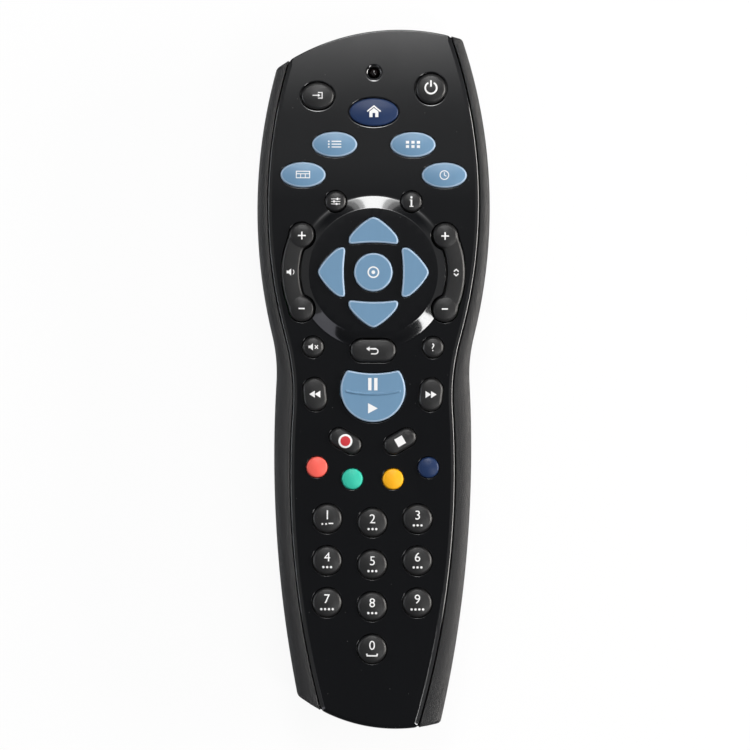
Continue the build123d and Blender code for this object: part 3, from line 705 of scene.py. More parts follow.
FINISHES = {
    "gloss_face": {
        "base": "face", "rough": "face_gloss", "spread": 0.03, "grain": 900.0, "bump": 0.0000012,
        "dust": 0.25, "IOR": 1.55, "Coat Weight": 1.0, "tone": 0.05,
    },
    "matt_housing": {
        "base": "housing", "rough": 0.34, "spread": 0.06, "grain": 4200.0, "bump": 0.00011,
        "wear": "wear", "dust": 0.2, "tone": 0.2,
    },
    "satin_dark_key": {
        "base": "key_dark", "rough": 0.4, "spread": 0.06, "bump": 0.00003, "wear": "wear", "dust": 0.2,
    },
    "satin_light_key": {**CAP, "base": "key_light", "wear_light": 1.5},
    # A paler copy of the light key finish for the rims: a painted highlight along their edges
    "satin_light_rim": {**CAP, "base": "key_rim", "wear": 0.2, "wear_light": 1.2},
    "satin_key_navy": {**TINTED_CAP, "base": "key_navy"},
    "satin_key_red": {**TINTED_CAP, "base": "key_red"},
    "satin_key_green": {**TINTED_CAP, "base": "key_green"},
    "satin_key_yellow": {**TINTED_CAP, "base": "key_yellow"},
    "white_ink": {**INK, "base": "ink"},
    "red_ink": {**INK, "base": "mark_red"},
    "zinc_screw": {**RUBBED_METAL, "rough": 0.32, "tone": 0.15},
    "lamp_dome": {**CLEAR, "base": (0.004, 0.002, 0.002), "rough": 0.04},
    "cell_film": {**FILM, "base": "film", "rough": 0.22},
    "cell_band": {**FILM, "base": "band", "rough": 0.2, "Metallic": 0.6},
    "cell_cap": {
        **BARE_METAL, "rough": 0.25, "spread": 0.08, "bump": 0.000006, "wear": 0.2, "wear_light": 1.1,
    },
    "nickel": {**RUBBED_METAL, "rough": 0.28},
    "dark_window": {**CLEAR, "base": (0.010, 0.002, 0.004), "rough": 0.05, "dust": 0.2},
    "emitter_lens": {**CLEAR, "base": (0.02, 0.008, 0.05), "rough": 0.08, "spread": 0.04},
    "board_lacquer": {
        "base": "board", "rough": 0.3, "spread": 0.12, "grain": 420.0, "bump": 0.00002, "wear": 0.2,
        "wear_light": 1.6, "tone": 0.35,
    },
    "keypad_rubber": {**RESIN, "base": "rubber", "rough": 0.6, "grain": 4000.0},
    "chip_resin": {**RESIN, "base": (0.012, 0.012, 0.013), "rough": 0.5, "tone": 0.15},
    "resistor_body": {**RESIN, "base": (0.02, 0.02, 0.022), "rough": 0.4},
    "resonator_can": {**BARE_METAL, "rough": 0.3},
    "capacitor_sleeve": {**RESIN, "base": (0.02, 0.03, 0.09), "rough": 0.3, "grain": 2500.0},
}
COAT_ROUGHNESS, WEAR_LIFT = 0.05, 0.01
HANDLING_SCALE, SPECK_SCALE = 60.0, 700.0
DUST = (0.35, 0.35, 0.34)


def finish(name):
    """A moulded or metal finish with grain, handling marks, rubbed edges and dust."""
    if name in bpy.data.materials:
        return bpy.data.materials[name]
    look = {**PLAIN, **FINISHES[name]}
    for key in ("base", "rough", "wear"):
        if isinstance(look[key], str):
            look[key] = getattr(bpy.context.scene.remote_colours, look[key])
    base, rough, tone = look["base"], look["rough"], look["tone"]
    made = bpy.data.materials.new(name)
    made.use_nodes = True
    made.diffuse_color = (*base, 1.0)
    tree = made.node_tree
    shader = tree.nodes["Principled BSDF"]
    for label in ("IOR", "Specular IOR Level", "Coat Weight", "Metallic"):
        shader.inputs[label].default_value = look[label]
    shader.inputs["Coat Roughness"].default_value = COAT_ROUGHNESS
    marks = effect(tree, "Handling", Scale=HANDLING_SCALE, Low=rough, High=rough + look["spread"])
    tree.links.new(marks["Value"], shader.inputs["Roughness"])
    light = [min(1.0, c * (1.0 + tone)) for c in base]
    dark = [c * (1.0 - tone) for c in base]
    shown = mixed(tree, marks["Streaks"], dark, light)
    if look["wear"] > 0.0:
        rubbed = [min(1.0, c * look["wear_light"] + WEAR_LIFT) for c in base]
        shown = mixed(tree, effect(tree, "Edge wear", Amount=look["wear"])["Mask"], shown, rubbed)
    if look["dust"] > 0.0:
        specks = effect(tree, "Dust specks", Scale=SPECK_SCALE, Amount=look["dust"])
        shown = mixed(tree, specks["Mask"], shown, DUST)
    tree.links.new(shown, shader.inputs["Base Color"])
    if look["bump"] > 0.0:
        height = effect(tree, "Moulded grain", Scale=look["grain"])["Height"]
        raised = fill(tree, "ShaderNodeBump", {"Height": height, "Strength": 1.0, "Distance": look["bump"]})
        tree.links.new(raised.outputs["Normal"], shader.inputs["Normal"])
    return made


# Keys: places on the face, outlines and crowns

COLUMN_PITCH, ROW_PITCH, FIRST_ROW, MIDDLE_SAG = 13.55, 12.6, -41.9, 1.15


def number_place(number):
    """Place of a number key from 1 to 9."""
    row, column = divmod(number - 1, 3)
    sag = MIDDLE_SAG if column == 1 else 0.0
    return (column - 1) * COLUMN_PITCH, FIRST_ROW - row * ROW_PITCH - sag


ISLAND_KEYS = ("key_up", "key_left", "key_down", "key_right", "key_select", "rocker_volume", "rocker_channel")
KEY_PLACES = {
    "key_power": (17.1, 87.2), "key_source": (-16.9, 84.9), "key_home": (0.0, 80.1),
    "key_library": (-11.75, 70.35), "key_apps": (11.75, 70.35),
    "key_guide": (-21.2, 61.2), "key_planner": (21.2, 61.2),
    "key_setup": (-11.35, 53.2), "key_info": (11.35, 53.2),
    "key_mute": (-18.0, 9.55), "key_help": (18.0, 9.55), "key_back": (0.0, 8.6),
    "key_rewind": (-17.4, -4.65), "key_forward": (17.4, -4.65),
    "key_record": (-8.2, -18.65), "key_stop": (8.2, -18.65),
    "key_red": (-16.7, -26.5), "key_blue": (16.7, -26.5),
    "key_green": (-6.1, -30.0), "key_yellow": (6.1, -30.0),
    **{name: (0.0, 32.0) for name in ISLAND_KEYS},
    "key_play_pause": (0.0, -3.2), "key_0": (0.0, -81.0),
    **{f"key_{number}": number_place(number) for number in range(1, 10)},
}
ROUND_KEYS = {
    "key_power": 4.6, "key_setup": 3.2, "key_info": 3.2, "key_mute": 3.2, "key_help": 3.2,
    "key_red": 3.1, "key_blue": 3.1, "key_green": 3.1, "key_yellow": 3.1, "key_select": 5.75,
    **{f"key_{number}": 4.4 for number in range(10)},
}
MENU_KEYS = ("key_library", "key_apps", "key_guide", "key_planner")
OVAL_KEYS = {"key_source": (4.95, 4.1), "key_home": (7.3, 4.15), **{name: (6.75, 3.8) for name in MENU_KEYS}}
SLOT_KEYS = {
    "key_back": (6.8, 3.55, 0.0), "key_rewind": (3.45, 5.0, 6.0), "key_forward": (3.45, 5.0, -6.0),
    "key_record": (5.1, 2.85, -30.0), "key_stop": (5.1, 2.85, 30.0),
}
PETAL_TURNS = {"key_up": 0.0, "key_left": 90.0, "key_down": 180.0, "key_right": 270.0}
ROCKER_WAYS = {"rocker_volume": -1.0, "rocker_channel": 1.0}
ROCKING = (*ROCKER_WAYS, "key_play_pause")
FLAT_KEYS = (*PETAL_TURNS, "key_select")
LIGHT_KEYS = (*MENU_KEYS, *FLAT_KEYS, "key_play_pause")
TINTED_KEYS = {
    "key_home": "key_navy", "key_blue": "key_navy", "key_red": "key_red", "key_green": "key_green",
    "key_yellow": "key_yellow",
}
PAD_RING, PAD_TURN, PAD_RADIUS = 24.1, 27.0, 3.9
BAND_INNER, BAND_OUTER = 22.1, 27.5
PLAY_RADIUS, PLAY_BITE, PLAY_RIDGE = 9.7, 30.3, 36.6
PETAL_HALF, PETAL_FOOT, PETAL_SHOULDER, PETAL_TIP = 7.5, 8.27, 10.3, 16.9
PETAL_SWELL, PETAL_HOLLOW, PETAL_STEP, PETAL_PASSES = 0.6, -0.63, 0.3, 17
ROCKER_CUT, PLAY_CUT = 1.1, 0.75
LAMP_PLACE = (0.0, 92.0)


def pad_middle(turn, way=1.0):
    """Middle of a round pad of a curved key."""
    return way * PAD_RING * math.cos(math.radians(turn)), PAD_RING * math.sin(math.radians(turn))


def slot_sizes(name):
    """Radius of a slot key's ends, how far apart they are from its middle, and its turn."""
    half_x, half_y, lean = SLOT_KEYS[name]
    short = min(half_x, half_y)
    return short, max(half_x, half_y) - short, lean if half_x > half_y else lean + 90.0


def slot_loop(name):
    """Slot with round ends, anticlockwise."""
    short, spread, turn = slot_sizes(name)
    right = arc((spread, 0.0), short, -math.pi / 2, math.pi / 2, 19)
    left = arc((-spread, 0.0), short, math.pi / 2, 1.5 * math.pi, 19)
    middle = np.linspace((spread, short), (-spread, short), 6)[1:-1]
    return spun(np.concatenate((right, middle, left, -middle)), turn)


def petal_loop():
    """Arrow key outline, its tip on +Y."""

    def bowed(start, end, swell):
        start, end = np.array(start), np.array(end)
        t = np.linspace(0.0, 1.0, 9)[:, None]
        side = np.array((-(end - start)[1], (end - start)[0]))
        return start + (end - start) * t - side / np.hypot(*side) * 4.0 * swell * t * (1 - t)

    foot, shoulder, tip = (PETAL_HALF, PETAL_FOOT), (PETAL_HALF, PETAL_SHOULDER), (0.0, PETAL_TIP)
    parts = [
        np.array([foot]),
        bowed(shoulder, tip, PETAL_SWELL),
        bowed(tip, (-PETAL_HALF, PETAL_SHOULDER), PETAL_SWELL)[1:],
        bowed((-PETAL_HALF, PETAL_FOOT), foot, PETAL_HOLLOW)[:-1],
    ]
    return evened(np.concatenate(parts), PETAL_STEP, PETAL_PASSES)


def rocker_loop():
    """Curved key outline on the right of the island's middle."""

    def crossing(radius):
        cosine = (radius**2 + PAD_RING**2 - PAD_RADIUS**2) / (2 * radius * PAD_RING)
        return math.radians(PAD_TURN) - math.acos(cosine)

    pad = np.array(pad_middle(PAD_TURN))
    outer, inner = crossing(BAND_OUTER), crossing(BAND_INNER)
    start, stop = (
        heading(radius * np.array((math.cos(turn), math.sin(turn))) - pad)
        for radius, turn in ((BAND_OUTER, outer), (BAND_INNER, inner))
    )
    upper = arc(pad, PAD_RADIUS, start, stop % (2 * math.pi), 34)
    parts = [
        arc((0, 0), BAND_OUTER, -outer, outer, 24)[:-1],
        upper[:-1],
        arc((0, 0), BAND_INNER, inner, -inner, 20)[:-1],
        (upper * (1, -1))[::-1][:-1],
    ]
    return soften(np.concatenate(parts), ROCKER_CUT)


def play_centre():
    """Middle of the island in the play key's own frame."""
    return sizes()["island_y"] - KEY_PLACES["key_play_pause"][1]


def play_loop():
    """Round key outline with a bite taken out about the island's middle."""
    centre = play_centre()
    y = (PLAY_RADIUS**2 + centre**2 - PLAY_BITE**2) / (2 * centre)
    x = math.sqrt(PLAY_RADIUS**2 - y**2)
    edge, bite = math.atan2(y, x), math.atan2(y - centre, x)
    parts = [
        arc((0, 0), PLAY_RADIUS, math.pi - edge, 2 * math.pi + edge, 60)[:-1],
        arc((0, centre), PLAY_BITE, bite, -math.pi - bite, 22)[:-1],
    ]
    return soften(np.concatenate(parts), PLAY_CUT)


def key_loop(name):
    """Outline of a key cap about the middle of its own frame."""
    if name in ROUND_KEYS:
        return ring(ROUND_KEYS[name], count=56)
    if name in OVAL_KEYS:
        return ring(*OVAL_KEYS[name], count=72)
    if name in SLOT_KEYS:
        return slot_loop(name)
    if name in PETAL_TURNS:
        return spun(petal_loop(), PETAL_TURNS[name])
    if name in ROCKER_WAYS:
        return spun(rocker_loop(), 90.0 - 90.0 * ROCKER_WAYS[name])
    return play_loop()


FLAT_SINK = 0.1
DOME, SLOT_DOME = 0.6, 0.42
BAND_HALF, BAND_DOME = 2.7, 0.2
PAD_SINK, PAD_DOME, PAD_EDGE = 0.15, 0.55, 0.35
PAD_POWER, PAD_BLEND = 0.8, 12.0
RIDGE_RISE, RIDGE_HALF, RIDGE_END, RIDGE_FADE = 0.42, 0.26, 8.3, 0.5


def key_crown(name):
    """A function that gives the height of a cap's top in its own frame."""
    s = sizes()
    rise = s["key_rise"]
    if name in FLAT_KEYS:
        return lambda p: np.full(len(p), rise + s["island_rise"] - FLAT_SINK)

    def slot_crown(p):
        short, spread, turn = slot_sizes(name)
        own = spun(p, -turn)
        over = np.maximum(0.0, np.abs(own[:, 0]) - spread)
        return rise - SLOT_DOME * (over**2 + own[:, 1] ** 2) / short**2

    def rocker_crown(p):
        away = np.abs(np.hypot(p[:, 0], p[:, 1]) - (BAND_INNER + BAND_OUTER) / 2)
        height = rise - FLAT_SINK - BAND_DOME * (away / BAND_HALF) ** 2
        for turn in (PAD_TURN, -PAD_TURN):
            x, y = pad_middle(turn, ROCKER_WAYS[name])
            square = (p[:, 0] - x) ** 2 + (p[:, 1] - y) ** 2
            near = np.clip(1.0 - square / (PAD_RADIUS - PAD_EDGE) ** 2, 0.0, 1.0)
            pad = rise - PAD_SINK + PAD_DOME * near**PAD_POWER
            blend = np.clip(near * PAD_BLEND, 0.0, 1.0)
            height = height * (1 - blend) + pad * blend
        return height

    def play_crown(p):
        away = np.hypot(p[:, 0], p[:, 1] - play_centre()) - PLAY_RIDGE
        fade = np.clip((RIDGE_END - np.abs(p[:, 0])) / RIDGE_FADE, 0.0, 1.0)
        return rise - FLAT_SINK + RIDGE_RISE * np.exp(-((away / RIDGE_HALF) ** 2)) * fade

    if name in SLOT_KEYS:
        return slot_crown
    if name in ROCKER_WAYS:
        return rocker_crown
    if name == "key_play_pause":
        return play_crown
    half = np.array(OVAL_KEYS[name] if name in OVAL_KEYS else (ROUND_KEYS[name],) * 2)
    return lambda p: rise - DOME * ((p / half) ** 2).sum(1)


# Face plate. Edge profiles list inset, drop and lean

HOLE_EDGE = (
    (0.34, 0.0, 0.0), (0.22, 0.02, 12.0), (0.12, 0.07, 30.0), (0.04, 0.17, 55.0), (0.0, 0.32, 90.0),
)
HOLE_DEPTH = 2.0
NEAR_NOSE, PLAIN_LIP = 75.0, 0.22
LAMP_EDGE = (
    (0.95, 0.0, 0.0), (0.75, 0.03, 12.0), (0.52, 0.11, 24.0), (0.3, 0.26, 38.0), (0.12, 0.5, 58.0),
    (0.0, 0.8, 90.0), (0.0, 2.6, 90.0),
)
LAMP_HOLE = 1.75
BEVEL = (
    (1.25, 0.0, 0.0), (1.2, 0.003, 6.0), (1.15, 0.011, 14.0), (1.08, 0.03, 19.0), (0.32, 0.292, 19.0),
    (0.22, 0.335, 30.0), (0.12, 0.41, 46.0), (0.04, 0.52, 68.0), (0.0, 0.65, 90.0),
)
NOSE_Y, NOSE_BEVEL = 60.0, 0.3
PLATE_CORNER, PLATE_DEPTH = 1.1, 1.9
ISLAND_POINTS, ISLAND_EDGE, ISLAND_BEYOND = 170, 0.1, 0.3


class REMOTE_OT_face_plate(bpy.types.Operator):
    """Gloss face with its bevel, raised island and key openings"""

    bl_idname = "remote.face_plate"
    bl_label = "Face plate"

    def execute(self, context):
        s = sizes()
        outline, belong = Plan("face_").loop(s["seam"] / 2, 0.0, PLATE_CORNER)
        reach = np.where(outline[:, 1] > NOSE_Y, NOSE_BEVEL + (1 - NOSE_BEVEL) * belong, 1.0)
        bevel = [(inset * reach[:, None], drop * reach, lean) for inset, drop, lean in BEVEL]
        bevel.append((0.0, s["skirt"], 90.0))
        holes = []
        for name, (x, y) in KEY_PLACES.items():
            gap = s["rocker_gap"] if name in ROCKING else s["key_gap"]
            scale = 1.0 if y > NEAR_NOSE else PLAIN_LIP
            lip = [(inset * scale, drop * scale, lean) for inset, drop, lean in HOLE_EDGE]
            holes.append((offset(key_loop(name), gap) + (x, y), lip + [(0.0, HOLE_DEPTH, 90.0)]))
        holes.append((ring(LAMP_HOLE, x=LAMP_PLACE[0], y=LAMP_PLACE[1]), LAMP_EDGE))
        top, foot = s["island_top"], s["island_foot"]
        edge, beyond = ISLAND_EDGE, ISLAND_BEYOND
        radii = (*np.linspace(top - edge, top + edge, 6), *np.linspace(top + beyond, foot + beyond, 13))
        extra = np.concatenate([ring(radius, count=ISLAND_POINTS, y=s["island_y"]) for radius in radii])
        skin = Skin()
        skin.sheet(outline, bevel, holes, face_surface, 2.6, extra)

        def below(corners, normals):
            return (corners[:, :, 2] < face_top(corners[:, :, 1]) - PLATE_DEPTH).all(1)

        skin.carry("front_shell", below)
        skin.make("face_plate", ROOT, [finish("gloss_face")], ["front_shell"], "face")
        return {"FINISHED"}


# Housing, battery door and screws

WINDOW_HALF, WINDOW_LOW, WINDOW_HIGH, WINDOW_Y = 13.1, 6.9, 14.6, 80.0
WALL_LOW = 9.5
STOPS = (0.0, 0.5, 1.0)
SCREW_PLACES = ((23.5, 71.5), (-23.5, 71.5), (19.0, -16.5), (-19.0, -16.5))
SCREW_HOLE, SCREW_DEPTH = 2.3, 4.4
DOOR_Y = -60.75
DOOR_SEAT, DOOR_PLATE = (16.85, 33.0, 3.25), (16.6, 32.75, 3.0)
DOOR_ROUND, DOOR_WALL, DOOR_INSIDE = 0.3, 2.0, 1.95
SOFT_ROUND, HOLE_WALL, HEAD_WALL = 0.25, 1.0, 1.6
HULL_HALF = (30.0, 100.0)
BACK_TOP, SLANT_TOP, SIDE_TOP, RAIL_MARGIN = 0.05, 8.1, 24.9, 0.05
SIDE_REACH, SLANT_REACH = 0.72, 0.6
RAIL_SUNK, RAIL_END, RAIL_START, RAIL_SHARE = 0.32, 0.35, 26.0, 0.86
RAIL_EDGE = ((0.28, 0.05, 82.0), (0.14, 0.09, 60.0), (0.05, 0.17, 30.0), (0.0, 0.3, 0.0))
SHOULDER, SHOULDER_INSET, RAIL_FOOT, CORNER_CLEAR = 0.14, 0.12, 0.05, 1.6


def rectangle_loop(half_x, half_y, corner, y):
    """Rectangle with round corners, anticlockwise, its middle at some y."""
    x, up, quarter = half_x - corner, half_y - corner, math.pi / 2
    centres = ((x, up), (-x, up), (-x, -up), (x, -up))
    arcs = [arc(centre, corner, i * quarter, (i + 1) * quarter, 7) for i, centre in enumerate(centres)]
    parts = []
    for line, after in zip(arcs, arcs[1:] + arcs[:1]):
        parts += [line, np.linspace(line[-1], after[0], 8)[1:-1]]
    return np.concatenate(parts) + (0.0, y)


class REMOTE_OT_housing(bpy.types.Operator):
    """Matt housing with round belly, side rails, window opening and door recess"""

    bl_idname = "remote.housing"
    bl_label = "Housing"

    def execute(self, context):
        s = sizes()
        plan, face, corner = Plan(), Plan("face_"), s["corner_round"]
        stops = self.stops(plan, face, corner, s["seam"] / 2)

        def level(side, end, base=None):
            """A ring whose sides and ends each have an inset, a height and a lean."""
            loop, belong = plan.loop(side[0], end[0], corner, stops)
            height, lean = (belong * side[i] + (1 - belong) * end[i] for i in (1, 2))
            lean = np.radians(lean)
            if base:
                height = height + base(loop[:, 1])
            normals = np.column_stack((outward(loop) * np.cos(lean)[:, None], np.sin(lean)))
            return upright(loop, height), normals

        rows = []
        for turn in np.linspace(0.0, 90.0, 10):
            inwards, upwards = 1 - math.sin(math.radians(turn)), 1 - math.cos(math.radians(turn))
            rows.append(
                level(*((r * inwards, r * upwards, turn - 90) for r in (s["belly_round"], s["end_round"])))
            )
        rows.append(level((0.0, WALL_LOW, 0.0), (0.0, WINDOW_LOW, 0.0)))
        rows.append(level((0.0, WINDOW_HIGH, 0.0), (0.0, WINDOW_HIGH, 0.0)))
        rows.append(level((0.0, -s["skirt"], 0.0), (0.0, -s["skirt"], 0.0), face_top))

        def in_window(point):
            x, y, z = point
            return abs(x) < WINDOW_HALF and WINDOW_LOW < z < WINDOW_HIGH and y > WINDOW_Y

        skin = Skin()
        skin.strip([points for points, _ in rows], [normals for _, normals in rows], True, 0, in_window)
        outer, belong = plan.loop(0.0, 0.0, corner, stops)
        out = outward(outer)
        near, run = len(STOPS), len(plan.side(1.0, 0.0, 0.0)) - 2 + 2 * CORNER_POINTS
        for way, first in ((1.0, 0), (-1.0, run + len(stops["nose"]))):
            part = slice(first, first + near + run + near)
            self.rail(skin, face, way, outer[part], out[part], belong[part], near + CORNER_POINTS - 1)
        edge = rounded(SOFT_ROUND, HOLE_WALL)
        holes = [(ring(SCREW_HOLE, count=40, x=x, y=y), edge) for x, y in SCREW_PLACES]
        holes.append((rectangle_loop(*DOOR_SEAT, DOOR_Y), edge))
        skin.sheet(rows[0][0][:, :2], [(0.0, 0.0, 0.0)], holes, step=4.0, place=FLIPPED)

        def hidden(corners, normals):
            """Faces inside the skin: not of the back, the sides, the rails or the slanted ends."""
            middle = corners.mean(1)
            reach = middle[:, :2] / HULL_HALF
            radius = np.hypot(*reach.T)
            facing = (normals * unit(upright(reach, 0.0))).sum(1)
            back = (normals[:, 2] < -0.99) & (middle[:, 2] < BACK_TOP)
            sides = (facing > 0.2) & (radius > SIDE_REACH) & (middle[:, 2] < SIDE_TOP)
            slanted = (normals[:, 2] < -0.15) & (middle[:, 2] < SLANT_TOP) & (radius > SLANT_REACH)
            rail = middle[:, 2] > face_top(middle[:, 1]) - s["skirt"] + RAIL_MARGIN
            return ~(back | sides | rail | slanted)

        skin.carry("rear_shell", hidden)
        skin.make("housing", ROOT, [finish("matt_housing")], ["rear_shell"], "housing")
        return {"FINISHED"}

    def stops(self, plan, face, corner, gap):
        """Places across the ends at which walls, rails and window opening meet, from the tail round."""

        def between(way, end):
            rim, full = face.side(way, -gap, 0.0)[end][0], plan.side(way, 0.0, 0.0)[end][0]
            return [rim + (full - math.copysign(CORNER_CLEAR * corner, rim) - rim) * t for t in STOPS]

        nose_right, nose_left = between(1.0, -1)[::-1], between(-1.0, -1)
        tail_left, tail_right = between(-1.0, 0)[::-1], between(1.0, 0)
        middle = (
            *np.linspace(nose_right[-1], WINDOW_HALF, 5)[1:],
            *np.linspace(WINDOW_HALF, -WINDOW_HALF, 13)[1:],
            *np.linspace(-WINDOW_HALF, nose_left[0], 5)[1:-1],
        )
        return {
            "start": tail_right,
            "nose": [*nose_right, *middle, *nose_left],
            "tail": [*tail_left, *np.linspace(tail_left[-1], tail_right[0], 20)[1:-1]],
        }

    def rail(self, skin, face, way, outer, out, belong, lead):
        """One side rail: crowned from its outer wall to the rounded edge over the groove."""
        s = sizes()
        gap, skirt, order = s["seam"] / 2, s["skirt"], int(way)
        inner = face.side(way, -gap - RAIL_EDGE[0][0], 0.0)[::order]
        partner = inner[np.clip(np.arange(len(outer)) - lead, 0, len(inner) - 1)]
        sided = belong[:, None]
        start = math.radians(RAIL_START)
        rows = []
        for turn in np.linspace(start, math.pi / 2, 11):
            inwards, low = 1 - math.cos(turn) / math.cos(start), 1 - math.sin(turn)
            moved = outer + sided * (partner - outer) * RAIL_SHARE * inwards
            moved = moved - out * ((1 - sided) * RAIL_END * inwards + SHOULDER_INSET * (1 - inwards))
            drop = RAIL_SUNK + belong * s["rail_round"] * low + (1 - belong) * RAIL_END * low
            rows.append(upright(moved, face_top(moved[:, 1]) - drop))
        rows.append(upright(partner, face_top(partner[:, 1]) - RAIL_SUNK - RAIL_FOOT))
        rows = np.array(rows)
        normals = np.cross(np.gradient(rows, axis=1), np.gradient(rows, axis=0))
        normals[-1] = (0.0, 0.0, 1.0)
        normals = unit(normals.reshape(-1, 3)).reshape(rows.shape)
        skin.strip(rows, normals)
        sideways = upright(out, 0.0)
        shoulder = upright(outer, rows[0][:, 2] - SHOULDER)
        skin.strip([shoulder, rows[0]], [sideways, normals[0]])
        skin.strip([upright(outer, face_top(outer[:, 1]) - skirt), shoulder], [sideways, sideways])
        inner_rows, inner_normals = [], []
        for away, drop, lean in (*RAIL_EDGE, (0.0, skirt - RAIL_SUNK, 0.0)):
            line = face.side(way, -gap - away, 0.0)[::order]
            towards = -right_of(np.gradient(line, axis=0))
            turn = math.radians(lean)
            inner_rows.append(upright(line, face_top(line[:, 1]) - RAIL_SUNK - drop))
            inner_normals.append(upright(towards * math.cos(turn), math.sin(turn)))
        skin.strip(inner_rows, inner_normals)


HOLLOW_Y, HOLLOW_HALF, HOLLOW_LONG, HOLLOW_DEEP, HOLLOW_SIDE = -38.0, 8.0, 5.0, 0.8, 1.6
BEYOND_X, BEYOND_Y = 0.4, 0.6


class REMOTE_OT_battery_door(bpy.types.Operator):
    """Battery door with a thumb hollow"""

    bl_idname = "remote.battery_door"
    bl_label = "Battery door"

    def execute(self, context):
        def hollow(points):
            x, y = points[:, 0], points[:, 1] - HOLLOW_Y
            side = np.clip((HOLLOW_HALF - np.abs(x)) / HOLLOW_SIDE, 0.0, 1.0)
            bowl = np.clip(1.0 - (y / HOLLOW_LONG) ** 2, 0.0, 1.0)
            return -HOLLOW_DEEP * bowl * (side * side * (3 - 2 * side))

        reach_x, reach_y = HOLLOW_HALF + BEYOND_X, HOLLOW_LONG + BEYOND_Y
        across, along = np.meshgrid(
            np.linspace(-reach_x, reach_x, 40), np.linspace(HOLLOW_Y - reach_y, HOLLOW_Y + reach_y, 34)
        )
        extra = np.stack((across.ravel(), along.ravel()), 1)
        outline, edge = rectangle_loop(*DOOR_PLATE, DOOR_Y), rounded(DOOR_ROUND, DOOR_WALL)
        skin = Skin()
        skin.sheet(outline, edge, (), hollow, 3.0, extra, FLIPPED)

        def upper(corners, normals):
            return (corners[:, :, 2] > DOOR_INSIDE).all(1)

        skin.carry("battery_door", upper)
        skin.make("door", "battery_door", [finish("matt_housing")], ["battery_door"], "housing")
        return {"FINISHED"}


CROSS_ARM, CROSS_HALF, CROSS_DEPTH = 1.25, 0.3, 0.85
CROSS_EDGE = ((0.04, 0.0, 0.0), (0.0, 0.05, 90.0), (-0.12, 1.0, 90.0))
HEAD_RADIUS, HEAD_DOME, HEAD_SPIN = 2.2, 0.25, 0.3
SHANK = ((1.0, -1.6, 0.0), (1.0, -11.6, 0.0), (0.0, -11.7, -90.0))


class REMOTE_OT_fasteners(bpy.types.Operator):
    """Cross-headed screws at the bottom of their holes in the back"""

    bl_idname = "remote.fasteners"
    bl_label = "Screws"

    def execute(self, context):
        arm, half = CROSS_ARM, CROSS_HALF
        cross = np.array(
            (
                (half, arm), (-half, arm), (-half, half), (-arm, half), (-arm, -half), (-half, -half),
                (-half, -arm), (half, -arm), (half, -half), (arm, -half), (arm, half), (half, half),
            )
        )

        def crown(points):
            return HEAD_DOME - HEAD_DOME * (points**2).sum(1) / HEAD_RADIUS**2

        skin = Skin()
        for x, y in SCREW_PLACES:
            place = Matrix.Translation((x, y, SCREW_DEPTH)) @ FLIPPED
            place = place @ Matrix.Rotation(x * HEAD_SPIN + y, 4, "Z")
            head, edge = ring(HEAD_RADIUS, count=36), rounded(SOFT_ROUND, HEAD_WALL)
            skin.sheet(head, edge, [(cross, CROSS_EDGE)], crown, 0.7, None, place)
            skin.add(upright(cross, -CROSS_DEPTH), [(0, 0, 1)] * 12, [list(range(12))], 0, place)
            skin.lathe(SHANK, place, 24)
        skin.make("screws", ROOT, [finish("zinc_screw")], ["shell_screws"], "metal")
        return {"FINISHED"}


# Printed marks

MARK_EDGE, MARK_PASSES, MARK_MITRE = 0.5, 5, 0.6
# The rims of the light keys get their own slot, painted paler as a highlight
INK_SLOT, RED_SLOT, RIM_HIGHLIGHT_SLOT = 1, 2, 3
MARK_RISE = {INK_SLOT: 0.035, RED_SLOT: 0.055}


def refined(points, faces, longest):
    """Flat faces cut up until no edge is longer than asked."""
    flat = bmesh.new()
    corners = [flat.verts.new((*point, 0.0)) for point in points]
    for face in faces:
        flat.faces.new([corners[index] for index in face])
    for _ in range(MARK_PASSES):
        bmesh.ops.triangulate(flat, faces=flat.faces[:])
        long_edges = [edge for edge in flat.edges if edge.calc_length() > longest]
        if not long_edges:
            break
        bmesh.ops.subdivide_edges(flat, edges=long_edges, cuts=1)
    bmesh.ops.triangulate(flat, faces=flat.faces[:])
    flat.verts.index_update()
    made = np.array([vert.co[:2] for vert in flat.verts])
    polygons = [[vert.index for vert in face.verts] for face in flat.faces]
    flat.free()
    return made, polygons


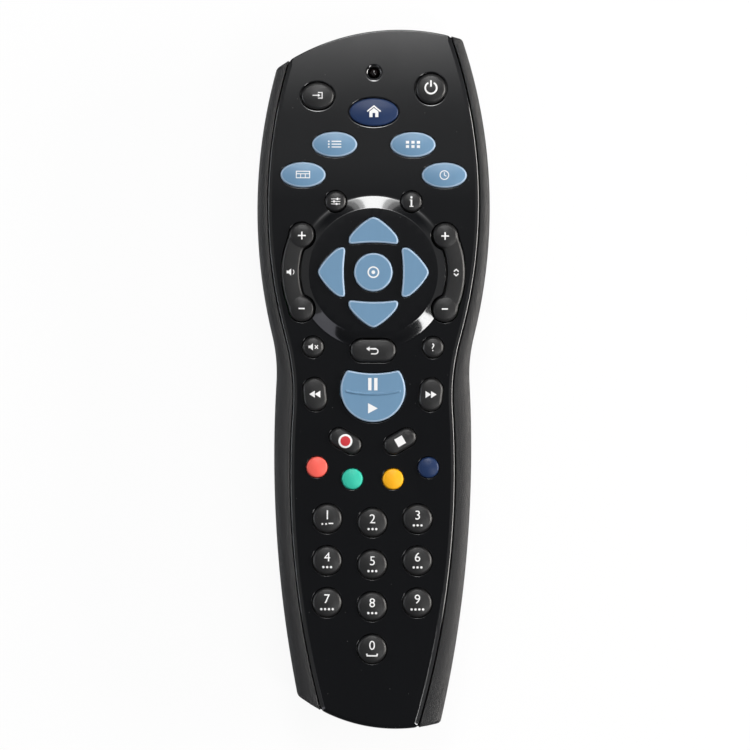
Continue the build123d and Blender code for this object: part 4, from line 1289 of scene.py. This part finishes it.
class Ink:
    """Flat marks in a key's own frame, in millimetres."""

    def __init__(self):
        self.pieces = []

    def poly(self, points, slot=INK_SLOT):
        """A filled shape."""
        self.pieces.append((np.asarray(points, float), [list(range(len(points)))], slot))

    def disc(self, x, y, radius, slot=INK_SLOT):
        """A round dot."""
        self.poly(ring(radius, count=28, x=x, y=y), slot)

    def box(self, x, y, width, height, turn=0.0):
        """A rectangle, turned by some degrees."""
        half = np.array(((1, 1), (-1, 1), (-1, -1), (1, -1))) * (width / 2, height / 2)
        self.poly(spun(half, turn) + (x, y))

    def arrow(self, x, y, width, height, way=1.0):
        """A triangle that points along X."""
        corners = np.array(((-0.5 * way, -0.5), (0.5 * way, 0.0), (-0.5 * way, 0.5)))
        self.poly(corners * (width, height) + (x, y))

    def stroke(self, points, width, closed=False):
        """A line of even width through some points."""
        points = np.asarray(points, float)
        count = len(points)
        if closed:
            ahead = unit(np.roll(points, -1, 0) - points)
            both_ways = ahead + np.roll(ahead, 1, 0)
        else:
            ahead = unit(np.diff(points, axis=0))
            both_ways = np.concatenate((ahead[:1], ahead)) + np.concatenate((ahead, ahead[-1:]))
        side = np.stack((-both_ways[:, 1], both_ways[:, 0]), 1)
        spread = np.maximum((side**2).sum(1) / 2.0, MARK_MITRE)
        side = side / spread[:, None] * width / 2
        faces = []
        for i in range(count if closed else count - 1):
            j = (i + 1) % count
            faces.append([i, j, j + count, i + count])
        self.pieces.append((np.concatenate((points + side, points - side)), faces, INK_SLOT))

    def strokes(self, lines, width):
        """Open lines of one width."""
        for line in lines:
            self.stroke(line, width)

    def text(self, body, height, x=0.0, y=0.0):
        """Plain figures of a given height, centred on a point."""
        curve = bpy.data.curves.new("figure", "FONT")
        curve.body = body
        curve.resolution_u = 5
        carrier = bpy.data.objects.new("figure", curve)
        bpy.context.scene.collection.objects.link(carrier)
        bpy.context.view_layer.update()
        mesh = bpy.data.meshes.new_from_object(carrier.evaluated_get(bpy.context.evaluated_depsgraph_get()))
        points = np.array([v.co[:2] for v in mesh.vertices], float)
        faces = [list(face.vertices) for face in mesh.polygons]
        bpy.data.objects.remove(carrier)
        bpy.data.curves.remove(curve)
        bpy.data.meshes.remove(mesh)
        low, high = points.min(0), points.max(0)
        points = (points - (low + high) / 2) * (height / (high[1] - low[1])) + (x, y)
        self.pieces.append((points, faces, INK_SLOT))

    def lay(self, skin, crown, place):
        """Puts the marks on a cap's crowned top, cut into short faces that follow it."""
        for points, faces, slot in self.pieces:
            points, faces = refined(points, faces, MARK_EDGE)
            height = crown(points) + MARK_RISE[slot]
            skin.add(upright(points, height), surface_normals(points, crown), faces, slot, place)


def speaker(x):
    """A loudspeaker's shape."""
    back, throat, mouth = x - 1.15, x - 0.55, x + 0.2
    return [(back, -0.4), (throat, -0.4), (mouth, -1.05), (mouth, 1.05), (throat, 0.4), (back, 0.4)]


def pad_signs(way):
    """A plus and a minus on the pads of a curved key."""
    x, y = pad_middle(PAD_TURN, way)
    lines = [
        [(x - 1.15, y), (x + 1.15, y)], [(x, y - 1.15), (x, y - 0.21)], [(x, y + 0.21), (x, y + 1.15)],
        [(x - 0.9, -y), (x + 0.9, -y)],
    ]
    return ("strokes", lines, 0.42)


def chevron(up):
    """A flat angle that points up or down beside the middle of a curved key."""
    return [(CHANNEL_X - 0.7, 0.3 * up), (CHANNEL_X, 0.95 * up), (CHANNEL_X + 0.7, 0.3 * up)]


def number_marks(number):
    """The figure of a number key over the marks in place of its letters."""
    dots = 4 if number in (7, 9) else 3
    row = [("disc", (i - (dots - 1) / 2) * 1.15, -1.95, 0.36) for i in range(dots)]
    return [("text", str(number), 2.7, 0.0, 1.15), *SIGNS_BELOW.get(number, row)]


SOUND_X, CHANNEL_X = -PAD_RING - 0.75, PAD_RING + 0.75
BACK_BEND = arc((0.7, -0.3), 0.75, math.pi / 2, -math.pi / 2, 12)
SIGNS_BELOW = {
    0: [("stroke", [(-1.6, -1.35), (-1.45, -2.0), (1.45, -2.0), (1.6, -1.35)], 0.42)],
    1: [("disc", -1.5, -1.6, 0.3), ("disc", -0.35, -1.6, 0.3), ("stroke", [(0.4, -1.45), (1.8, -1.45)], 0.4)],
}
MARKS = {
    "key_power": [
        ("stroke", arc((0, 0.15), 1.72, math.radians(118), math.radians(422), 40), 0.5),
        ("stroke", [(0, 0.5), (0, 2.45)], 0.5),
    ],
    "key_source": [
        ("stroke", [(0.1, 0.95), (1.35, 0.95), (1.35, -0.75), (0.1, -0.75)], 0.28),
        ("stroke", [(-1.5, 0.1), (0.3, 0.1)], 0.28),
        ("arrow", 0.45, 0.1, 0.75, 1.0),
    ],
    "key_home": [
        ("stroke", [(-2.0, 0.1), (0.0, 1.75), (2.0, 0.1)], 0.42),
        ("poly", [(-1.35, -1.6), (-0.4, -1.6), (-0.4, -0.35), (-1.35, -0.35)]),
        ("poly", [(0.4, -1.6), (1.35, -1.6), (1.35, -0.35), (0.4, -0.35)]),
        ("poly", [(-1.35, -0.35), (1.35, -0.35), (1.35, 0.1), (0.0, 1.15), (-1.35, 0.1)]),
    ],
    "key_library": [
        mark
        for y in (0.85, 0.0, -0.85)
        for mark in (("stroke", [(-0.9, y), (2.0, y)], 0.32), ("disc", -1.75, y, 0.26))
    ],
    "key_apps": [("box", x, y, 0.95, 0.85) for x in (-1.65, 0.0, 1.65) for y in (-0.65, 0.65)],
    "key_guide": [
        ("stroke", [(-2.0, -0.95), (2.0, -0.95), (2.0, 1.0), (-2.0, 1.0)], 0.28, True),
        ("strokes", [[(-2.0, 0.25), (2.0, 0.25)], *([(x, -0.95), (x, 0.25)] for x in (-0.7, 0.7))], 0.24),
    ],
    "key_planner": [
        ("stroke", ring(1.3, count=28), 0.28, True),
        ("stroke", [(0.0, 0.85), (0.0, 0.0), (0.6, -0.35)], 0.26),
    ],
    "key_setup": [
        mark
        for y, x in ((0.75, 0.5), (0.0, -0.5), (-0.75, 0.25))
        for mark in (("stroke", [(-1.35, y), (1.35, y)], 0.2), ("disc", x, y, 0.34))
    ],
    "key_info": [
        ("disc", 0.0, 1.3, 0.34),
        ("stroke", [(0.0, 0.6), (0.0, -1.4)], 0.5),
        ("strokes", [[(-0.5, 0.5), (0.2, 0.5)], [(-0.6, -1.4), (0.6, -1.4)]], 0.26),
    ],
    "key_mute": [
        ("poly", speaker(-0.25)),
        ("strokes", [[(0.55, -0.5), (1.45, 0.5)], [(0.55, 0.5), (1.45, -0.5)]], 0.26),
    ],
    "rocker_volume": [
        ("poly", speaker(SOUND_X)),
        ("stroke", arc((SOUND_X + 0.1, 0), 0.95, -0.8, 0.8, 9), 0.22),
        pad_signs(-1.0),
    ],
    "rocker_channel": [("strokes", [chevron(1), chevron(-1)], 0.32), pad_signs(1.0)],
    "key_help": [("text", "?", 2.3)],
    "key_back": [
        ("stroke", [(-1.2, 0.45), (0.7, 0.45), *BACK_BEND, (-0.6, -1.05)], 0.34),
        ("arrow", -1.55, 0.45, 1.0, 1.45, -1.0),
    ],
    "key_select": [("stroke", ring(1.55, count=36), 0.42, True), ("disc", 0.0, 0.0, 0.55)],
    "key_rewind": [("arrow", x, 0.05, 1.65, 2.1, -1.0) for x in (-0.85, 0.8)],
    "key_forward": [("arrow", x, 0.05, 1.65, 2.1) for x in (-0.8, 0.85)],
    "key_play_pause": [
        ("box", -0.95, 1.65, 1.0, 3.7), ("box", 0.85, 1.65, 1.0, 3.7), ("arrow", 0.0, -5.6, 2.9, 3.1),
    ],
    "key_record": [("disc", 0.0, 0.0, 2.1), ("disc", 0.0, 0.0, 1.5, RED_SLOT)],
    "key_stop": [("box", 0.0, 0.0, 2.6, 2.6, 30.0)],
    **{f"key_{number}": number_marks(number) for number in range(10)},
}

CAP_EDGES = {"key_light": 0.5, "key_dark": 0.85}
TINTED_EDGE, POWER_EDGE = 0.45, 0.95
PAD_RINGS = (3.6, 3.5, 3.4, 3.25, 3.05, 2.7, 2.2, 1.5, 0.8)
RIDGE_LINES = (-0.7, -0.5, -0.35, -0.2, -0.1, 0.0, 0.1, 0.2, 0.35, 0.5, 0.7)
RIDGE_TURNS = (math.radians(-90 - 13.5), math.radians(-90 + 13.5))
CAP_DEPTH = 2.15


class REMOTE_OT_keys(bpy.types.Operator):
    """Key caps with crowned tops, soft edges, printed marks and a painted highlight on the light keys' rims
    """

    bl_idname = "remote.keys"
    bl_label = "Keys"

    def execute(self, context):
        for name, (x, y) in KEY_PLACES.items():
            slot = TINTED_KEYS.get(name, "key_light" if name in LIGHT_KEYS else "key_dark")
            edge = POWER_EDGE if name == "key_power" else CAP_EDGES.get(slot, TINTED_EDGE)
            shade = "satin_" + (slot if name in TINTED_KEYS else slot[4:] + "_key")
            cap = finish(shade)
            # The light keys' rims take the paler finish: a painted highlight on their edges
            rim = finish("satin_light_rim") if slot == "key_light" else cap
            step, extra = self.fine_points(name)
            place, crown = key_place(x, y), key_crown(name)
            skin, ink = Skin(), Ink()
            skin.sheet(key_loop(name), rounded(edge, 3.0, 5), (), crown, step, extra, place, RIM_HIGHLIGHT_SLOT)
            for kind, *values in MARKS.get(name, ()):
                getattr(ink, kind)(*values)
            ink.lay(skin, crown, place)
            back = np.array(place.inverted())

            def low(corners, normals):
                own = corners @ back[:3, :3].T + back[:3, 3]
                return (own[:, :, 2] < -CAP_DEPTH).all(1)

            skin.carry(name, low)
            materials = [cap, finish("white_ink"), finish("red_ink"), rim]
            skin.make("cap_" + name.replace("key_", ""), name, materials, [name], slot)
        return {"FINISHED"}

    def fine_points(self, name):
        """The step between a cap's points, and more points where its top turns sharply."""
        if name in ROCKER_WAYS:
            middles = [pad_middle(turn, ROCKER_WAYS[name]) for turn in (PAD_TURN, -PAD_TURN)]
            return 1.0, np.concatenate([ring(r, x=x, y=y) for x, y in middles for r in PAD_RINGS])
        if name == "key_play_pause":
            lines = [arc((0, play_centre()), PLAY_RIDGE + away, *RIDGE_TURNS, 70) for away in RIDGE_LINES]
            return 0.95, np.concatenate(lines)
        return 0.95, None


# Lamp, cells and inner parts

DOME_RADIUS, FLANGE_RADIUS, FLANGE_TOP = 1.5, 1.7, 0.8


class REMOTE_OT_lamp(bpy.types.Operator):
    """Indicator lamp with its clear dome"""

    bl_idname = "remote.lamp"
    bl_label = "Indicator lamp"

    def execute(self, context):
        low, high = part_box("indicator_led")
        top, base, radius, flange = high.z / MM, low.z / MM, DOME_RADIUS, FLANGE_RADIUS
        profile = [(0.0, top, 90.0)]
        for lean in (75, 60, 45, 30, 15, 0):
            turn = math.radians(lean)
            profile.append((radius * math.cos(turn), top - radius + radius * math.sin(turn), lean))
        profile += [(radius, base + FLANGE_TOP, 0.0), (flange, base + FLANGE_TOP - 0.05, 0.0)]
        profile += [(flange, base, 0.0), (0.0, base, -90.0)]
        skin = Skin()
        skin.lathe(profile, Matrix.Translation((*LAMP_PLACE, 0.0)), 40)
        skin.make("lamp", ROOT, [finish("lamp_dome")], ["indicator_led"], "window")
        return {"FINISHED"}


CELL_X = 7.55
CELL_PROFILE = (
    (0.0, -25.25, -90), (4.6, -25.25, -90), (4.8, -25.1, -60), (5.2, -25.0, -90), (6.4, -25.05, -80),
    (7.05, -24.9, -45), (7.25, -24.4, 0), (7.25, 15.0, 0), (7.25, 15.02, 0), (7.25, 23.4, 0),
    (7.05, 23.95, 45), (6.4, 24.1, 80), (5.6, 23.85, 90), (3.2, 23.9, 90), (2.9, 24.1, 45),
    (2.75, 24.4, 0), (2.75, 24.9, 0), (2.5, 25.2, 60), (2.1, 25.25, 90), (0.0, 25.25, 90),
)
CELL_SLOTS = [2] * 4 + [0] * 4 + [1] * 4 + [2] * 7


class REMOTE_OT_cells(bpy.types.Operator):
    """Two cells in plain two-tone film, with crimped ends"""

    bl_idname = "remote.cells"
    bl_label = "Cells"

    def execute(self, context):
        low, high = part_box("battery_cells")
        y, z = (low.y + high.y) / 2 / MM, (low.z + high.z) / 2 / MM
        skin = Skin()
        for way in (-1.0, 1.0):
            place = Matrix.Translation((way * CELL_X, y, z)) @ Matrix.Rotation(way * math.pi / 2, 4, "X")
            skin.lathe(CELL_PROFILE, place, 56, CELL_SLOTS)
        materials = [finish(name) for name in ("cell_film", "cell_band", "cell_cap")]
        skin.make("cells", ROOT, materials, ["battery_cells"], "cell")
        return {"FINISHED"}


INNER_FINISHES = {
    "ir_window": "dark_window", "ir_emitters": "emitter_lens", "circuit_board": "board_lacquer",
    "keypad_web": "keypad_rubber", "main_chip": "chip_resin", "chip_resistors": "resistor_body",
    "resonator": "resonator_can", "capacitor": "capacitor_sleeve", "contact_springs": "nickel",
    "contact_plates": "nickel",
}


class REMOTE_OT_inner_parts(bpy.types.Operator):
    """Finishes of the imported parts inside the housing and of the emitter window"""

    bl_idname = "remote.inner_parts"
    bl_label = "Inner parts"

    def execute(self, context):
        for node, name in INNER_FINISHES.items():
            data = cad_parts[node].data
            data.materials.clear()
            data.materials.append(finish(name))
        return {"FINISHED"}


# Stage

SENSOR = 36.0
CAMERA_PLACE, CAMERA_TURN = (0.0006, 0.0012, 1.6), 0.197
FRAME_WIDTH, FRAME_HEIGHT = 0.225, 0.025
FLOOR_HALF, FLOOR_Z, FLOOR_SHADE, FLOOR_ROUGH, FLOOR_GLOW = 3.0, -0.0002, 0.9, 0.9, 0.93
SKY_NEAR, SKY_TOP = ((0.0, 0.09), (0.035, 0.2)), ((0.34, 0.5), (1.0, 0.12))
SKY_SIDES, SKY_WIDE = ((0.12, 0.4), (1.0, 0.12)), ((0.45, 0.62), (0.0, 0.24))
CLIMB_START, CLIMB_STEEP, CLIMB_MOST, LOW_LIGHT = 0.14, 50.0, 1.8, 0.5
LIGHT_AIM = (0.0, 0.03, 0.02)
LIGHT_BOXES = {
    "box_north": (0.0, 38.0, 1.1, 0.22, 0.62, 7.0, (1.0, 1.0, 1.0)),
    "box_north_mid": (0.0, 38.0, 1.12, 0.36, 0.62, 2.4, (1.0, 1.0, 1.0)),
    "box_north_wide": (0.0, 38.0, 1.14, 0.52, 0.62, 1.5, (1.0, 1.0, 1.0)),
    "box_south_east": (-130.5, 34.0, 1.1, 0.13, 0.62, 11.5, (1.0, 1.0, 1.0)),
    "box_south_west": (135.6, 34.0, 1.1, 0.27, 0.62, 0.85, (0.9, 0.9, 1.0)),
    "box_east": (-88.0, 73.0, 1.1, 0.7, 0.26, 24.0, (1.0, 0.96, 0.92)),
    "box_west": (88.0, 77.0, 1.1, 0.7, 0.12, 10.0, (0.92, 0.95, 1.0)),
}


class REMOTE_OT_stage(bpy.types.Operator):
    """Camera, lights, floor and surroundings"""

    bl_idname = "remote.stage"
    bl_label = "Stage"

    def execute(self, context):
        scene = context.scene
        scene.view_settings.view_transform = "Standard"
        self.camera(scene)
        self.floor(scene)
        self.world(scene)
        self.lights(scene)
        return {"FINISHED"}

    def camera(self, scene):
        """Looks straight down, level with the face."""
        data = bpy.data.cameras.new("camera")
        data.sensor_width = SENSOR
        data.lens = SENSOR * (CAMERA_PLACE[2] - FRAME_HEIGHT) / FRAME_WIDTH
        made = bpy.data.objects.new("camera", data)
        scene.collection.objects.link(made)
        made.location = CAMERA_PLACE
        made.rotation_euler = (0.0, 0.0, math.radians(CAMERA_TURN))
        scene.camera = made

    def floor(self, scene):
        """Pale floor that glows white where it is seen and keeps a share of the shadow."""
        mesh = bpy.data.meshes.new("floor")
        corners = ((-1, -1), (1, -1), (1, 1), (-1, 1))
        mesh.from_pydata([(x * FLOOR_HALF, y * FLOOR_HALF, FLOOR_Z) for x, y in corners], [], [[0, 1, 2, 3]])
        made = bpy.data.objects.new("floor", mesh)
        scene.collection.objects.link(made)
        material = bpy.data.materials.new("pale_floor")
        material.use_nodes = True
        tree = material.node_tree
        shader = tree.nodes["Principled BSDF"]
        shader.inputs["Base Color"].default_value = (FLOOR_SHADE, FLOOR_SHADE, FLOOR_SHADE, 1.0)
        shader.inputs["Roughness"].default_value = FLOOR_ROUGH
        shader.inputs["Specular IOR Level"].default_value = 0.0
        rays = fill(tree, "ShaderNodeLightPath").outputs
        seen = maths(tree, "MAXIMUM", rays["Is Camera Ray"], rays["Is Glossy Ray"])
        seen = maths(tree, "MAXIMUM", seen, rays["Is Transmission Ray"])
        lit = maths(tree, "MULTIPLY", seen, FLOOR_GLOW)
        glow = fill(tree, "ShaderNodeEmission", {"Color": WHITE, "Strength": 1.0})
        blend = fill(tree, "ShaderNodeMixShader", {0: lit, 1: shader.outputs[0], 2: glow.outputs[0]})
        tree.links.new(blend.outputs[0], tree.nodes["Material Output"].inputs["Surface"])
        mesh.materials.append(material)

    def world(self, scene):
        """Dim overhead, brighter low down and towards the nose, white where the camera sees it."""
        world = bpy.data.worlds.new("studio")
        scene.world = world
        world.use_nodes = True
        tree = world.node_tree
        where = fill(tree, "ShaderNodeTexCoord").outputs["Generated"]
        axes = fill(tree, "ShaderNodeSeparateXYZ", {"Vector": where}).outputs
        across = maths(tree, "ABSOLUTE", axes["X"])
        near = ranged(tree, axes["Y"], *SKY_NEAR)
        climb = maths(tree, "POWER", maths(tree, "SUBTRACT", axes["Y"], CLIMB_START, True), 2.0)
        climb = maths(tree, "MINIMUM", maths(tree, "MULTIPLY", climb, CLIMB_STEEP), CLIMB_MOST)
        total = maths(tree, "ADD", near, climb)
        for axis, fade in ((axes["Y"], SKY_TOP), (across, SKY_SIDES)):
            total = maths(tree, "MULTIPLY", total, ranged(tree, axis, *fade))
        low = maths(tree, "POWER", maths(tree, "SUBTRACT", 1.0, axes["Z"], True), 2.0)
        total = maths(tree, "MAXIMUM", total, maths(tree, "MULTIPLY", low, LOW_LIGHT))
        total = maths(tree, "MAXIMUM", total, ranged(tree, across, *SKY_WIDE))
        dim = tree.nodes["Background"]
        dim.inputs["Color"].default_value = WHITE
        tree.links.new(total, dim.inputs["Strength"])
        seen = fill(tree, "ShaderNodeLightPath").outputs["Is Camera Ray"]
        white = fill(tree, "ShaderNodeBackground", {"Color": WHITE, "Strength": 1.0})
        blend = fill(tree, "ShaderNodeMixShader", {0: seen, 1: dim.outputs[0], 2: white.outputs[0]})
        tree.links.new(blend.outputs[0], tree.nodes["World Output"].inputs["Surface"])

    def lights(self, scene):
        """Soft boxes by bearing from +Y, lean from upright, distance, size and brightness."""
        for name, (bearing, lean, distance, width, tall, bright, tint) in LIGHT_BOXES.items():
            data = bpy.data.lights.new(name, "AREA")
            data.shape = "RECTANGLE"
            data.size, data.size_y = width, tall
            data.energy = bright * math.pi * width * tall
            data.color = tint
            made = bpy.data.objects.new(name, data)
            scene.collection.objects.link(made)
            turn, tilt = math.radians(bearing), math.radians(lean)
            sideways = math.sin(tilt)
            towards = Vector((-math.sin(turn) * sideways, math.cos(turn) * sideways, math.cos(tilt)))
            made.location = towards * distance + Vector(LIGHT_AIM)
            made.rotation_mode = "QUATERNION"
            spin = Matrix.Rotation(turn, 3, "Z") @ Matrix.Rotation(-tilt, 3, "X")
            made.rotation_quaternion = spin.to_quaternion()
            made.visible_camera = False


OPERATORS = (
    REMOTE_OT_face_plate,
    REMOTE_OT_housing,
    REMOTE_OT_keys,
    REMOTE_OT_battery_door,
    REMOTE_OT_fasteners,
    REMOTE_OT_lamp,
    REMOTE_OT_cells,
    REMOTE_OT_inner_parts,
    REMOTE_OT_stage,
)


class REMOTE_PT_panel(bpy.types.Panel):
    """Lists the steps that build the remote"""

    bl_label = "Remote control"
    bl_space_type = "VIEW_3D"
    bl_region_type = "UI"
    bl_category = "Remote"

    def draw(self, context):
        for operator in OPERATORS:
            self.layout.operator(operator.bl_idname)


CLASSES = (RemoteSizes, RemoteColours, *OPERATORS, REMOTE_PT_panel)


def register():
    for cls in CLASSES:
        bpy.utils.register_class(cls)
    bpy.types.Scene.remote_sizes = PointerProperty(type=RemoteSizes)
    bpy.types.Scene.remote_colours = PointerProperty(type=RemoteColours)


def unregister():
    del bpy.types.Scene.remote_colours
    del bpy.types.Scene.remote_sizes
    for cls in reversed(CLASSES):
        bpy.utils.unregister_class(cls)


def main():
    register()
    for operator in OPERATORS:
        group, name = operator.bl_idname.split(".")
        getattr(getattr(bpy.ops, group), name)()


if __name__ == "__main__":
    main()
